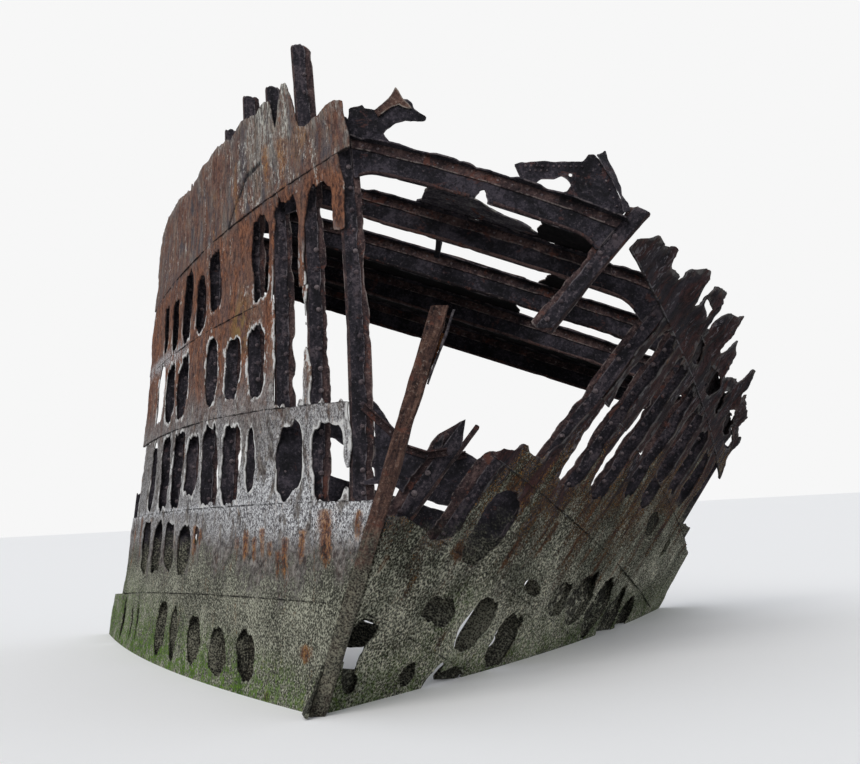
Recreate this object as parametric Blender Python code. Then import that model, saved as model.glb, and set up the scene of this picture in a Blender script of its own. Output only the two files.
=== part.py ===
"""Bow wreck of a riveted steel ship, heeled to port and cut flat at the sand. Metres, +Z up.

The hull is laid out in ship axes: a = aft, b = to port, h = up from the foot of the stem. It is then
heeled and trimmed, cut off at the ground and centred. Every part is one closed body, clear of its
neighbours by SEAT.
"""
import math

import bmesh
import bpy

HEEL = math.radians(20.5)       # the whole ship leans to port
TRIM = math.radians(7.0)        # and lies stern down
SEAT = 0.0005                   # gap left between riveted parts

# hull form
RAKE, RAKE_CURVE = 0.395, 0.031         # stem leans forward with height
ENTRY, ENTRY_FLARE = 0.603, 0.021       # slope of the waterlines at the stem
FULL, FULL_FLARE = 7.86, 0.093          # half breadth they would grow to
ROUNDING = 1.276

# framing
PITCH = 0.61
FRAME_1 = -0.30
LAST_FRAME = 13
WEB, WEB_DEPTH = 0.02, 0.18
FLANGE, FLANGE_T = 0.05, 0.015
PLATE = 0.022                   # plating thickness, square to the plate
FLARE_COS = 0.82                # plate thickness to its width across the ship

# seams from the bulwark down: height amidships of the wreck, slope aft, curvature
SEAMS = ((3.97, 0.054, 0.006), (3.10, 0.045, 0.005), (2.21, 0.030, 0.000),
         (1.36, 0.049, 0.005), (0.55, 0.077, 0.003))
SEAM_A = 3.0
GROUND_ROW = 6
STUB = 0.12                     # a strake lower than this at the ground joins the one above

# top edge of the bulwark strake: height at each frame and in the bay aft of it
STB_TOP = {1: (4.60, 4.58), 2: (4.84, 4.80), 3: (4.98, 4.95), 4: (5.02, 4.92), 5: (5.02, 4.93),
           6: (4.92, 4.86), 7: (4.80, 4.83), 8: (4.86, 4.90), 9: (4.90, 4.88), 10: (4.86, 4.84),
           11: (4.78, 4.70), 12: (4.50, 4.50)}
PORT_TOP = {1: (4.36, 4.38), 2: (4.46, 4.55), 3: (4.68, 4.64), 4: (4.82, 4.72), 5: (4.76, 4.82),
            6: (4.70, 4.70), 7: (4.74, 4.80), 8: (4.78, 4.66), 9: (4.62, 4.64), 10: (4.60, 4.46),
            11: (4.40, 4.40)}


# strakes: name, side, seam above (0 = bulwark top), first column, last column.
# A column is a frame number; below 1 it is the stem. Holes: bay, from, to, low, high (parts of the cell).
STRAKES = (
    ("stb_strake_1", -1, 0, 1.0, 11.6, ((9, .20, .80, .15, .45),)),
    ("stb_strake_2", -1, 1, 3.0, 11.6,
     ((3, .20, .82, .16, .92), (5, .22, .88, .26, .90), (6, .06, .72, .06, .72), (7, .06, .76, .05, .93),
      (8, .06, .66, .05, .72), (9, .06, .66, .10, .74))),
    ("stb_strake_3", -1, 2, 3.0, 9.9,
     ((3, .25, .92, .12, .86), (4, .30, .92, .16, .80), (5, .32, .92, .16, .90), (7, .10, .90, .14, .90),
      (8, .08, .92, .18, .90))),
    ("stb_strake_4", -1, 3, 1.0, 11.0,
     ((1, .10, .92, .04, .84), (2, .34, .90, .08, .84), (3, .62, .92, .14, .70), (4, .12, .92, .04, .88),
      (5, .08, .92, .04, .88), (6, .14, .92, .16, .92), (7, .08, .92, .05, .95), (8, .08, .92, .05, .95),
      (9, .50, .92, .05, .95))),
    ("stb_strake_5", -1, 4, 0.0, 11.8,
     ((6, .24, .92, .24, .82), (7, .26, .92, .30, .86), (8, .20, .92, .26, .88), (9, .16, .92, .24, .88))),
    ("stb_strake_6", -1, 5, 0.0, 13.9,
     ((3, .30, .92, .42, .84), (4, .26, .90, .40, .84), (5, .36, .90, .40, .84), (6, .50, .92, .36, .86),
      (7, .26, .92, .40, .88), (11, .10, .90, .30, .90))),
    ("port_strake_1", 1, 0, 1.2, 10.7, ((4, .45, .92, .30, .55), (6, .25, .80, .30, .55))),
    ("port_strake_2", 1, 1, 3.0, 9.4,
     ((3, .20, .88, .08, .92), (4, .14, .88, .08, .92), (5, .12, .88, .08, .92), (6, .12, .88, .10, .90),
      (7, .12, .88, .12, .88), (8, .14, .86, .14, .86))),
    ("port_strake_3", 1, 2, 2.4, 12.4,
     ((3, .14, .90, .20, .92), (4, .12, .90, .30, .84), (5, .20, .92, .34, .84), (7, .30, .90, .36, .70))),
    ("port_strake_4", 1, 3, 2.0, 13.0,
     ((2, .08, .92, .12, .88), (4, .36, .90, .10, .26), (5, .26, .92, .10, .52),
      (6, .10, .90, .12, .72), (7, .30, .90, .10, .72), (8, .12, .86, .56, .84))),
    ("port_strake_5", 1, 4, 0.0, 8.2,
     ((2, .20, .92, .22, .58), (3, .12, .92, .18, .78), (4, .12, .92, .18, .80))),
    ("port_strake_6", 1, 5, 0.0, 3.9, ((1, .20, .92, .38, .94),)),
)

# frames: number, foot (None = to the ground), head, part name
STB_FRAMES = ((1, 1.85, 4.57, ""), (2, 0.85, 5.35, ""), (3, None, 5.16, ""), (4, None, 5.26, ""),
              (5, None, 5.10, ""), (6, None, 4.86, ""), (7, None, 4.74, ""), (8, None, 4.80, ""),
              (9, None, 4.82, ""), (10, None, 2.10, "_low"), (10, 3.16, 4.76, "_high"),
              (11, None, 1.60, "_low"), (11, 3.20, 4.66, "_high"), (12, None, 0.90, ""))
PORT_FRAMES = ((1, 1.85, 2.42, "_stump"), (1, 3.30, 4.55, "_high"), (2, 0.85, 2.42, "_stump"),
               (3, None, 4.32, ""), (4, None, 4.22, ""), (5, None, 4.20, ""), (6, None, 4.20, ""),
               (7, None, 4.20, ""), (8, None, 4.20, ""), (9, None, 4.20, ""), (10, None, 4.20, ""),
               (11, None, 3.22, ""), (12, None, 2.84, ""))

# deck beams, angle bars riveted on the front of every other frame
BEAM_FRAMES = (1, 3, 5, 7, 9)
BEAM_TOP, BEAM_DEPTH, BEAM_CAMBER = 4.40, 0.27, 0.04
BEAM_FLANGE = 0.10
KNEE_DEPTH, KNEE_REACH = 0.26, 0.34

# stem bar
STEM_W, STEM_TOP = 0.13, 2.94
STEM_FORE, STEM_AFT = -0.06, 0.20      # its face and back, from the stem line


# part name holds, slot, colour, roughness
COATS = (("stem", ("stem_rust", (0.100, 0.062, 0.047), 0.85)),
         ("beam", ("beam_rust", (0.040, 0.026, 0.022), 0.85)),
         ("strake_1", ("upper_plating", (0.115, 0.085, 0.072), 0.85)),
         ("strake_2", ("upper_plating", (0.115, 0.085, 0.072), 0.85)),
         ("strake_3", ("upper_plating", (0.115, 0.085, 0.072), 0.85)),
         ("strake", ("lower_plating", (0.170, 0.160, 0.130), 0.95)),
         ("frame", ("frame_rust", (0.070, 0.047, 0.040), 0.85)),
         ("", ("remnant_rust", (0.050, 0.034, 0.030), 0.85)))


def stem_a(h):
    return -(RAKE * h + RAKE_CURVE * h * h)


def seam(k, a):
    mid, slope, curve = SEAMS[k - 1]
    d = a - SEAM_A
    return mid - slope * d + curve * d * d


def form(a, h):
    t = max(a - stem_a(h), 0.0)
    full = FULL + FULL_FLARE * h
    s = t * (ENTRY + ENTRY_FLARE * h) / full
    return full * s / (1.0 + s ** ROUNDING) ** (1.0 / ROUNDING)


def half_breadth(a, h):
    """Moulded half breadth; the bulwark above the first seam stands straight."""
    sheer = seam(1, a)
    if h <= sheer:
        return form(a, h)
    return form(a, sheer) + (form(a, 5.0) - form(a, sheer)) * (h - sheer) / (5.0 - sheer)


def to_world(a, b, h):
    x = b * math.cos(HEEL) + h * math.sin(HEEL)
    z = -b * math.sin(HEEL) + h * math.cos(HEEL)
    return (x, a * math.cos(TRIM) + z * math.sin(TRIM), -a * math.sin(TRIM) + z * math.cos(TRIM))


def ground_h(a, b_of_h, a_of_h=None):
    """Height in ship axes where a line b(h) at station a, or a(h), meets the ground."""
    lo, hi = -3.0, 6.0
    for _ in range(40):
        mid = 0.5 * (lo + hi)
        if to_world(a_of_h(mid) if a_of_h else a, b_of_h(mid), mid)[2] < 0.0:
            lo = mid
        else:
            hi = mid
    return 0.5 * (lo + hi)


def frame_a(i):
    return FRAME_1 + (i - 1) * PITCH


def skin(side, inset):
    """Breadth at a station, inset from the outside of the plating."""
    def breadth(a, h):
        return side * (half_breadth(a, h) - inset)
    return breadth


def coat(name):
    """The part's own material, by the first word that its name holds."""
    for word, (slot, colour, rough) in COATS:
        if word in name:
            break
    material = bpy.data.materials.get(slot)
    if material is None:
        material = bpy.data.materials.new(slot)
        material.use_nodes = True
        shader = material.node_tree.nodes["Principled BSDF"]
        shader.inputs["Base Color"].default_value = colour + (1.0,)
        shader.inputs["Roughness"].default_value = rough
        shader.inputs["Metallic"].default_value = 0.1
    return material


def build(name, verts, faces):
    """One closed body from ship-axis points."""
    bm = bmesh.new()
    points = [bm.verts.new(to_world(*v)) for v in verts]
    for face in faces:
        bm.faces.new([points[i] for i in face])
    bmesh.ops.recalc_face_normals(bm, faces=bm.faces[:])
    if bm.calc_volume(signed=True) < 0.0:
        bmesh.ops.reverse_faces(bm, faces=bm.faces[:])
    mesh = bpy.data.meshes.new(name)
    mesh.materials.append(coat(name))
    bm.to_mesh(mesh)
    bm.free()
    obj = bpy.data.objects.new(name, mesh)
    bpy.context.scene.collection.objects.link(obj)
    return obj


def loft(name, rings):
    """Closed body through equal rings, capped at both ends."""
    n = len(rings[0])
    faces = [tuple(range(n)), tuple((len(rings) - 1) * n + k for k in range(n))]
    for r in range(len(rings) - 1):
        for k in range(n):
            m = (k + 1) % n
            faces.append((r * n + k, r * n + m, (r + 1) * n + m, (r + 1) * n + k))
    return build(name, [p for ring in rings for p in ring], faces)


# ---------------------------------------------------------------- shell plating

def stem_column(low, high):
    """Front edge of the plating at its low and high edge, where its inside lies on the stem bar."""
    target = STEM_W / 2 + SEAT + PLATE / FLARE_COS

    def column(h):
        near, far = stem_a(h), stem_a(h) + 1.0
        for _ in range(40):
            mid = 0.5 * (near + far)
            if half_breadth(mid, h) < target:
                near = mid
            else:
                far = mid
        return near
    return column(low), column(high)


def strake_columns(first, last):
    """(position low, position high, kind) along the strake; each bay has its own middle column."""
    columns = []
    if first < 1.0:
        columns.append(("stem", 0))
    for i in range(1, LAST_FRAME + 1):
        if first - 0.1 <= i <= last + 0.1:
            columns.append(("fore", i))
            columns.append(("aft", i))
            if i + 0.5 < last:
                columns.append(("bay", i))
    tail = last - math.floor(last + 0.1)
    if tail > 0.15:
        columns.append(("end", last))
    return columns


def column_a(kind, i, low, high, start):
    if kind == "stem":
        return stem_column(low, high)
    a = {"fore": frame_a(i) - WEB, "aft": frame_a(i) + FLANGE,
         "bay": frame_a(i) + PITCH / 2 + (FLANGE - WEB) / 2, "end": frame_a(i)}[kind]
    return a, a


def top_height(side, kind, i):
    table = STB_TOP if side < 0 else PORT_TOP
    if kind == "bay":
        return table[int(i)][1]
    return table[int(math.floor(i + 0.01))][0]


def strake_edges(side, row, kind, i):
    """Low and high edge of a strake at a column; ahead of frame 1 the port plating is gone."""
    a = frame_a(max(i, 0.6)) if kind != "stem" else 0.0
    for _ in range(3):
        if kind == "stem":
            low = seam(row + 1, a) if row + 1 < GROUND_ROW else 0.05
            high = seam(row, a)
            a = 0.5 * sum(stem_column(low, high))
        else:
            a = column_a(kind, i, 0, 0, 0)[0]
            low = seam(row + 1, a) if row + 1 < GROUND_ROW else -9.0
            high = seam(row, a) if row else top_height(side, kind, i)
    return low + SEAT, high - (SEAT if row else 0.0)


def mix(p, q, w):
    return tuple(p[n] + (q[n] - p[n]) * w for n in range(3))


def strake(name, side, row, first, last, holes):
    columns = strake_columns(first, last)
    hole_of = {bay: (u0, u1, v0, v1) for bay, u0, u1, v0, v1 in holes}
    t = PLATE / FLARE_COS
    grid = []                               # grid[column][level] = (outer, inner)
    stem_end = -9.0
    for kind, i in columns:
        low, high = strake_edges(side, row, kind, i)
        a_low, a_high = column_a(kind, i, low, high, first)
        a_mid = 0.5 * (a_low + a_high)
        floor = ground_h(a_mid, lambda h: side * half_breadth(a_mid, h))
        if low < floor + STUB:
            low = floor
        if kind == "stem":
            a_low, a_high = stem_column(low, high)
        elif grid and grid[0][0] == "stem" and a_low < stem_end + 0.05:
            continue
        stem_end = max(a_low, a_high) if kind == "stem" else stem_end
        if high - low < STUB:
            break
        levels = []
        for v in (0.0, 0.5, 1.0):
            h = low + (high - low) * v
            a = a_low + (a_high - a_low) * v
            pair = []
            for inset in (0.0, t):
                if kind == "stem":
                    def breadth(z, inset=inset):
                        return side * (STEM_W / 2 + SEAT + t - inset)
                else:
                    def breadth(z, inset=inset):
                        return side * (half_breadth(a, z) - inset)
                hh = ground_h(a, breadth) if v == 0.0 and low == floor else h
                pair.append((a, breadth(hh), hh))
            levels.append(pair)
        if low == floor:                    # a strake cut by the ground runs straight down
            levels[1] = [mix(levels[0][s], levels[2][s], 0.5) for s in (0, 1)]
        grid.append((kind, i, levels))
    verts, faces = [], []
    index = {}

    def vertex(key, point):
        if key not in index:
            index[key] = len(verts)
            verts.append(point)
        return index[key]

    def node(c, r, skin_side):
        return vertex((c, r, skin_side), grid[c][2][r][skin_side])

    def wall(p, q, outer_first=True):
        faces.append((node(*p, 0), node(*q, 0), node(*q, 1), node(*p, 1)))

    c = 0
    count = len(grid)
    while c < count - 1:
        kind, i = grid[c][0], grid[c][1]
        span = 2 if (kind == "aft" and grid[c + 1][0] == "bay" and c + 2 < count) else 1
        if span == 2 and i in hole_of:
            u0, u1, v0, v1 = hole_of[i]
            ring = [(c, 0), (c + 1, 0), (c + 2, 0), (c + 2, 1), (c + 2, 2), (c + 1, 2), (c, 2), (c, 1)]
            um, vm = (u0 + u1) / 2, (v0 + v1) / 2
            du, dv = (u1 - u0) * 0.12, (v1 - v0) * 0.06
            inner = [(u0 + du, v0 + dv), (um, v0), (u1 - du, v0 + dv), (u1, vm), (u1 - du, v1 - dv),
                     (um, v1), (u0 + du, v1 - dv), (u0, vm)]
            for s in (0, 1):
                for n, (u, v) in enumerate(inner):
                    left = grid_at(grid, c, c + 1, c + 2, u, v, s)
                    vertex(("hole", c, n, s), left)
            for n in range(8):
                m = (n + 1) % 8
                for s in (0, 1):
                    faces.append((node(*ring[n], s), node(*ring[m], s),
                                  index[("hole", c, m, s)], index[("hole", c, n, s)]))
                faces.append((index[("hole", c, n, 0)], index[("hole", c, m, 0)],
                              index[("hole", c, m, 1)], index[("hole", c, n, 1)]))
        else:
            for cc in range(c, c + span):
                for r in (0, 1):
                    for s in (0, 1):
                        faces.append((node(cc, r, s), node(cc + 1, r, s),
                                      node(cc + 1, r + 1, s), node(cc, r + 1, s)))
        for cc in range(c, c + span):
            wall((cc, 0), (cc + 1, 0))
            wall((cc, 2), (cc + 1, 2))
        c += span
    for cc in (0, count - 1):
        wall((cc, 0), (cc, 1))
        wall((cc, 1), (cc, 2))
    return build(name, verts, faces)


def grid_at(grid, c0, c1, c2, u, v, s):
    """Point inside a bay at parts u, v of its two-by-two cell."""
    if u <= 0.5:
        ca, cb, w = c0, c1, u * 2
    else:
        ca, cb, w = c1, c2, u * 2 - 1
    r, z = (0, v * 2) if v <= 0.5 else (1, v * 2 - 1)
    p = mix(grid[ca][2][r][s], grid[ca][2][r + 1][s], z)
    q = mix(grid[cb][2][r][s], grid[cb][2][r + 1][s], z)
    return mix(p, q, w)


# ---------------------------------------------------------------- frames and beams

def frame_levels(side, i, foot, head):
    """Heights of the frame's stations: the same levels as the plating behind it."""
    a = frame_a(i)
    floor = ground_h(a, lambda h: side * half_breadth(a, h))
    edges = [seam(k, a) for k in range(1, 6)]
    levels = list(edges)
    for above, below in zip(edges, edges[1:]):
        if below > floor + STUB:
            levels.append(0.5 * (above + below))
    low = floor + STUB if foot is None else foot + 0.08
    return sorted(h for h in levels if low < h <= head)


def frame(side, i, foot, head, suffix):
    inset = PLATE / FLARE_COS + SEAT
    a = frame_a(i)
    section = ((a - WEB, 0.0), (a + FLANGE, 0.0), (a + FLANGE, FLANGE_T), (a, FLANGE_T),
               (a, WEB_DEPTH), (a - WEB, WEB_DEPTH))
    floors = [ground_h(p, lambda h, p=p, q=q: side * (half_breadth(p, h) - inset - q)) for p, q in section]
    rings = [[(p, side * (half_breadth(p, z) - inset - q), z)
              for (p, q), z in zip(section, [foot] * 6 if foot is not None else floors)]]
    for h in frame_levels(side, i, foot, head) + [head]:
        if h > head - 0.04 and h != head:
            continue
        ring = []
        for p, q in section:
            z = h if h == head else h + (seam_shift(p, h, a))
            ring.append((p, side * (half_breadth(p, z) - inset - q), z))
        rings.append(ring)
    prefix = "stb" if side < 0 else "port"
    return loft("%s_frame_%02d%s" % (prefix, i, suffix), rings)


def seam_shift(p, h, a):
    """Keeps a station on the sloping seam it belongs to."""
    best = min(range(1, 6), key=lambda k: abs(seam(k, a) - h))
    return seam(best, p) - seam(best, a)


def beam(number, i):
    a1 = frame_a(i) - WEB - SEAT
    a0 = a1 - WEB
    end = half_breadth(a0 - BEAM_FLANGE, BEAM_TOP - KNEE_DEPTH - BEAM_DEPTH) - 0.05
    size = min(1.0, end / 1.7)
    reach = KNEE_REACH * size
    stations = [-end, -end + reach * 0.5, -end + reach, 0.0, end - reach, end - reach * 0.5, end]
    rings = []
    for b in stations:
        top = BEAM_TOP + BEAM_CAMBER * (1.0 - (b / end) ** 2)
        near = max(0.0, 1.0 - (end - abs(b)) / reach)
        low = top - BEAM_DEPTH - KNEE_DEPTH * size * near ** 1.6
        rings.append([(a1, b, low), (a1, b, top), (a0 - BEAM_FLANGE, b, top),
                      (a0 - BEAM_FLANGE, b, top - 0.018), (a0, b, top - 0.018), (a0, b, low)])
    return loft("beam_%d" % number, rings)


# ---------------------------------------------------------------- stem and loose plates

def stem_bar():
    corners = [(da, b) for da, b in ((STEM_FORE, -1), (STEM_AFT, -1), (STEM_AFT, 1), (STEM_FORE, 1))]
    rings = []
    for h in (None, 0.5, 1.1, 1.7, 2.4, STEM_TOP):
        ring = []
        for da, b in corners:
            z = ground_h(0.0, lambda h: b * STEM_W / 2, lambda h: stem_a(h) + da) if h is None else h
            ring.append((stem_a(z) + da, b * STEM_W / 2, z))
        rings.append(ring)
    return loft("stem_bar", rings)


def stem_leaf():
    """Thin doubling on the port side of the stem bar's head."""
    rings = []
    for h in (2.42, 2.70, STEM_TOP - 0.02):
        a = stem_a(h)
        b = STEM_W / 2 + SEAT
        rings.append([(a - 0.04, b, h), (a + 0.10, b, h), (a + 0.10, b + 0.05, h), (a - 0.04, b + 0.05, h)])
    return loft("stem_leaf", rings)


def plate_in_frame_plane(name, a, outline, hole=()):
    """Flat plate standing across the ship: outline of (b, h) points, optional hole of as many points."""
    n = len(outline)
    verts = []
    for p in (a, a + WEB):
        verts += [(p, b, h) for b, h in outline]
        verts += [(p, b, h) for b, h in hole]
    step = n + len(hole)
    faces = []
    for k in range(n):
        m = (k + 1) % n
        faces.append((k, m, step + m, step + k))
        if hole:
            faces.append((n + k, n + m, step + n + m, step + n + k))
            faces.append((k, m, n + m, n + k))
            faces.append((step + k, step + m, step + n + m, step + n + k))
    if not hole:
        faces.append(tuple(range(n)))
        faces.append(tuple(step + k for k in range(n)))
    return build(name, verts, faces)


def floor_plate():
    """Deep floor in the bow, hollow on top, riveted on the front of the first frames."""
    a = frame_a(1) - 2 * WEB - SEAT

    def side_at(h):
        return half_breadth(a, h) - PLATE / FLARE_COS - 0.012
    outline = ((-side_at(1.80), 1.80), (side_at(1.80), 1.80), (side_at(2.1), 2.10), (side_at(2.28), 2.28),
               (0.30, 2.18), (0.18, 2.10), (0.04, 2.11), (-0.10, 2.21), (-0.28, 2.34),
               (-side_at(2.36), 2.36), (-side_at(2.1), 2.10))
    return plate_in_frame_plane("bow_floor_plate", a, outline)


def deep_floor():
    """Floor of the third frame: reaches up to the bow floor's height, split by a long rust slot."""
    a = frame_a(3) - 2 * WEB - SEAT

    def side_at(h):
        return half_breadth(a, h) - PLATE / FLARE_COS - 0.012
    outline = ((-side_at(0.56), 0.56), (0.04, 0.54), (0.19, 0.595), (side_at(0.62), 0.62), (side_at(1.30), 1.30),
               (side_at(2.22), 2.22), (0.86, 2.28), (0.66, 2.36), (0.50, 2.40), (0.35, 2.31), (0.16, 2.27),
               (-0.10, 2.30), (-side_at(2.32), 2.32), (-side_at(1.30), 1.30))
    slot = ((-0.80, 1.86), (-0.30, 1.86), (0.10, 1.855), (0.45, 1.86), (0.64, 1.865), (0.60, 1.90), (0.55, 1.925),
            (0.47, 1.91), (0.41, 1.90), (0.30, 1.91), (0.10, 1.95), (-0.20, 2.03), (-0.62, 2.18), (-0.80, 2.10))
    return plate_in_frame_plane("deep_floor_03", a, outline, slot)


def deck_plate():
    """Upright remnant on the first beam with a rusted hole through it."""
    a = frame_a(1) - WEB - SEAT - WEB
    outline = ((0.16, 4.437), (0.20, 4.58), (0.50, 4.72), (0.76, 4.84), (0.88, 4.94), (1.10, 4.68),
               (1.20, 4.54), (0.77, 4.417))
    hole = ((0.40, 4.56), (0.42, 4.60), (0.50, 4.65), (0.58, 4.68), (0.66, 4.68), (0.70, 4.64),
            (0.66, 4.58), (0.52, 4.54))
    return plate_in_frame_plane("deck_plate_remnant", a, outline, hole)


def fork_remnant():
    a = frame_a(1) - WEB - SEAT - WEB
    outline = ((-1.20, 4.42), (-1.22, 4.64), (-1.07, 4.67), (-0.93, 4.90), (-0.84, 4.80), (-0.72, 4.79),
               (-0.62, 4.74), (-0.78, 4.62), (-0.84, 4.413))
    return plate_in_frame_plane("fork_remnant", a, outline)


# deck plating left on the beams: name, front beam (None = torn off ahead of the back one), back beam,
# (b, ahead of the back beam's frame) along its front edge
DECKING = (
    ("deck_plating_1", 1, 2, ((0.50, 0.0), (1.04, 0.0))),
    ("deck_plating_2", None, 2, ((-0.50, 0.62), (-0.28, 0.60), (-0.20, 0.42), (0.0, 0.26), (0.25, 0.20), (0.48, 0.16))),
    ("deck_plating_3", 3, 4, ((-1.75, 0.0), (0.62, 0.0))),
    ("deck_plating_4", 4, 5, ((-2.30, 0.0), (1.75, 0.0))),
    ("deck_plating_5", 2, 3, ((0.72, 0.0), (1.08, 0.0))),
)
DECKING_T = 0.015


def beam_section(number):
    """Stations and tops of a beam, and where its top begins and ends along the ship."""
    a1 = frame_a(BEAM_FRAMES[number - 1]) - WEB - SEAT
    a0 = a1 - WEB
    end = half_breadth(a0 - BEAM_FLANGE, BEAM_TOP - KNEE_DEPTH - BEAM_DEPTH) - 0.05
    reach = KNEE_REACH * min(1.0, end / 1.7)
    stations = [-end, -end + reach * 0.5, -end + reach, 0.0, end - reach, end - reach * 0.5, end]
    tops = [BEAM_TOP + BEAM_CAMBER * (1.0 - (b / end) ** 2) for b in stations]
    return stations, tops, a0 - BEAM_FLANGE, a1


def table_at(x, xs, ys):
    for n in range(len(xs) - 1):
        if x <= xs[n + 1] or n == len(xs) - 2:
            return ys[n] + (ys[n + 1] - ys[n]) * (x - xs[n]) / (xs[n + 1] - xs[n])


def decking(name, front, back, edge):
    """Plating that follows the tops of the beams under it."""
    b_back, top_back, fore_back, aft_back = beam_section(back)
    stations = [b for b, _ in edge] + [b for b in b_back if edge[0][0] < b < edge[-1][0]]
    if front:
        b_front, top_front, fore_front, aft_front = beam_section(front)
        stations += [b for b in b_front if edge[0][0] < b < edge[-1][0]]
    rings = []
    for b in sorted(set(stations)):
        at_back = table_at(b, b_back, top_back) + SEAT
        if front:
            at_front = table_at(b, b_front, top_front) + SEAT
            butt = front == 1               # the upright remnant stands in its way
            low = [(aft_front + SEAT if butt else fore_front + 0.060, at_front),
                   (aft_front + 0.02, at_front)]
        else:
            ahead = table_at(b, [p[0] for p in edge], [p[1] for p in edge])
            low = [(fore_back - ahead, at_back), (fore_back - ahead * 0.5, at_back)]
        low += [(fore_back, at_back), (fore_back + 0.058, at_back)]
        rings.append([(a, b, h) for a, h in low] + [(a, b, h + DECKING_T) for a, h in reversed(low)])
    return loft(name, rings)


def clear_scene():
    for obj in list(bpy.data.objects):
        bpy.data.objects.remove(obj, do_unlink=True)


def centre(objects):
    """Origin at the bottom centre of the whole part."""
    points = [obj.matrix_world @ v.co for obj in objects for v in obj.data.vertices]
    mid_x = 0.5 * (min(p.x for p in points) + max(p.x for p in points))
    mid_y = 0.5 * (min(p.y for p in points) + max(p.y for p in points))
    for obj in objects:
        for v in obj.data.vertices:
            v.co.x -= mid_x
            v.co.y -= mid_y
            if abs(v.co.z) < 1e-5:
                v.co.z = 0.0
    return mid_x, mid_y


def main():
    clear_scene()
    parts = [stem_bar(), stem_leaf()]
    parts += [strake(*row) for row in STRAKES]
    parts += [frame(-1, *row) for row in STB_FRAMES]
    parts += [frame(1, *row) for row in PORT_FRAMES]
    parts += [beam(n + 1, i) for n, i in enumerate(BEAM_FRAMES)]
    parts += [decking(*row) for row in DECKING]
    parts += [floor_plate(), deep_floor(), deck_plate(), fork_remnant()]
    shift = centre(parts)
    print("centred by", shift)


main()
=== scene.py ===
"""Looks of a riveted steel bow wreck: wasted plating, frames, beams, rivets and weathered finishes.

Everything is laid out in ship axes: a = aft, b = to port, h = up from the foot of the stem, in metres.
to_part() heels, trims and shifts them into the frame's own axes. A place along the ship is also
given as a frame number f, and a height as a row r: r = 1 on the first seam, 2 on the second.
"""
import math

import bmesh
import bpy
import numpy as np
from mathutils import Matrix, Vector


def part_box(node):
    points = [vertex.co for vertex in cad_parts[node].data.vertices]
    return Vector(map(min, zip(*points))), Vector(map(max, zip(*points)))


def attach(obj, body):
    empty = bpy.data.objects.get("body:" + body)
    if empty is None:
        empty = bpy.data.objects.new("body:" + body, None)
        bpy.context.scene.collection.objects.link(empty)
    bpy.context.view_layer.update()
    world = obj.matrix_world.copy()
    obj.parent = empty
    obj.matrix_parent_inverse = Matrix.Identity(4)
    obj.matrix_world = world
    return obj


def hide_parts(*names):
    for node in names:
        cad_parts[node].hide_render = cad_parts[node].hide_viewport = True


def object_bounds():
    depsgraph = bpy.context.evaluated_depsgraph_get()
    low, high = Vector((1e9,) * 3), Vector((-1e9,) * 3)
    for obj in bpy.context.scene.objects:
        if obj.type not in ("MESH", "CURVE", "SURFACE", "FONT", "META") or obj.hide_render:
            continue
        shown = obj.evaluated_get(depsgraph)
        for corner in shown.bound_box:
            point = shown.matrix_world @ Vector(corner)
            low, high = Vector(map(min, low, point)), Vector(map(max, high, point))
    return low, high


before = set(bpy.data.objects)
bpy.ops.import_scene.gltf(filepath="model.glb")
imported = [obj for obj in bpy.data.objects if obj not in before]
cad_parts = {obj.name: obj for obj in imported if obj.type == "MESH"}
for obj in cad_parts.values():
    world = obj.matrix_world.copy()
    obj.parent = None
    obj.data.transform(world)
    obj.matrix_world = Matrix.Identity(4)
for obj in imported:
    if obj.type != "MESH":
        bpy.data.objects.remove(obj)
CAD_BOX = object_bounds()
LOW, HIGH = np.array(CAD_BOX[0]), np.array(CAD_BOX[1])

# ---------------------------------------------------------------- hull form, as the solids have it

HEEL, TRIM = math.radians(20.5), math.radians(7.0)
RAKE, RAKE_CURVE = 0.395, 0.031
ENTRY, ENTRY_FLARE = 0.603, 0.021
FULL, FULL_FLARE = 7.86, 0.093
ROUNDING = 1.276
PITCH, FRAME_1 = 0.61, -0.30
SEAMS = ((3.97, 0.054, 0.006), (3.10, 0.045, 0.005), (2.21, 0.030, 0.000), (1.36, 0.049, 0.005),
         (0.55, 0.077, 0.003))
SEAM_A = 3.0
PLATE, FLARE_COS = 0.022, 0.82
THICK = PLATE / FLARE_COS               # plate thickness across the ship
SEAT = 0.0005
INSET = THICK + SEAT                    # from the moulded form in to the frames
WEB, WEB_DEPTH = 0.02, 0.18
FLANGE, FLANGE_T = 0.05, 0.015
STEM_W, STEM_TOP = 0.13, 2.94
STEM_FORE, STEM_AFT = -0.06, 0.20
BEAM_TOP, BEAM_DEPTH, CAMBER, BEAM_FLANGE = 4.40, 0.27, 0.04, 0.10
KNEE_DEPTH, KNEE_REACH = 0.26, 0.34

CELL = 0.025                            # grid of the fine meshes
LAP = 0.004                             # outer strakes stand this proud of inner ones
BAR_LAP = 0.035                         # the plating runs this far onto the stem bar's sides
BULWARK = 1.25                          # the top strake's grid reaches this far above seam 1
GROUND = 6                              # the seam that would lie under the ground
LAST_DEPTH = 0.87                       # the lowest strake's openings count from seam 5 down this far
rng = np.random.default_rng(7)


def stem_a(h):
    return -(RAKE * h + RAKE_CURVE * h * h)


def seam(k, a):
    mid, slope, curve = SEAMS[k - 1]
    d = a - SEAM_A
    return mid - slope * d + curve * d * d


def form(a, h):
    t = np.maximum(a - stem_a(h), 0.0)
    full = FULL + FULL_FLARE * h
    s = t * (ENTRY + ENTRY_FLARE * h) / full
    return full * s / (1.0 + s ** ROUNDING) ** (1.0 / ROUNDING)


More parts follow.
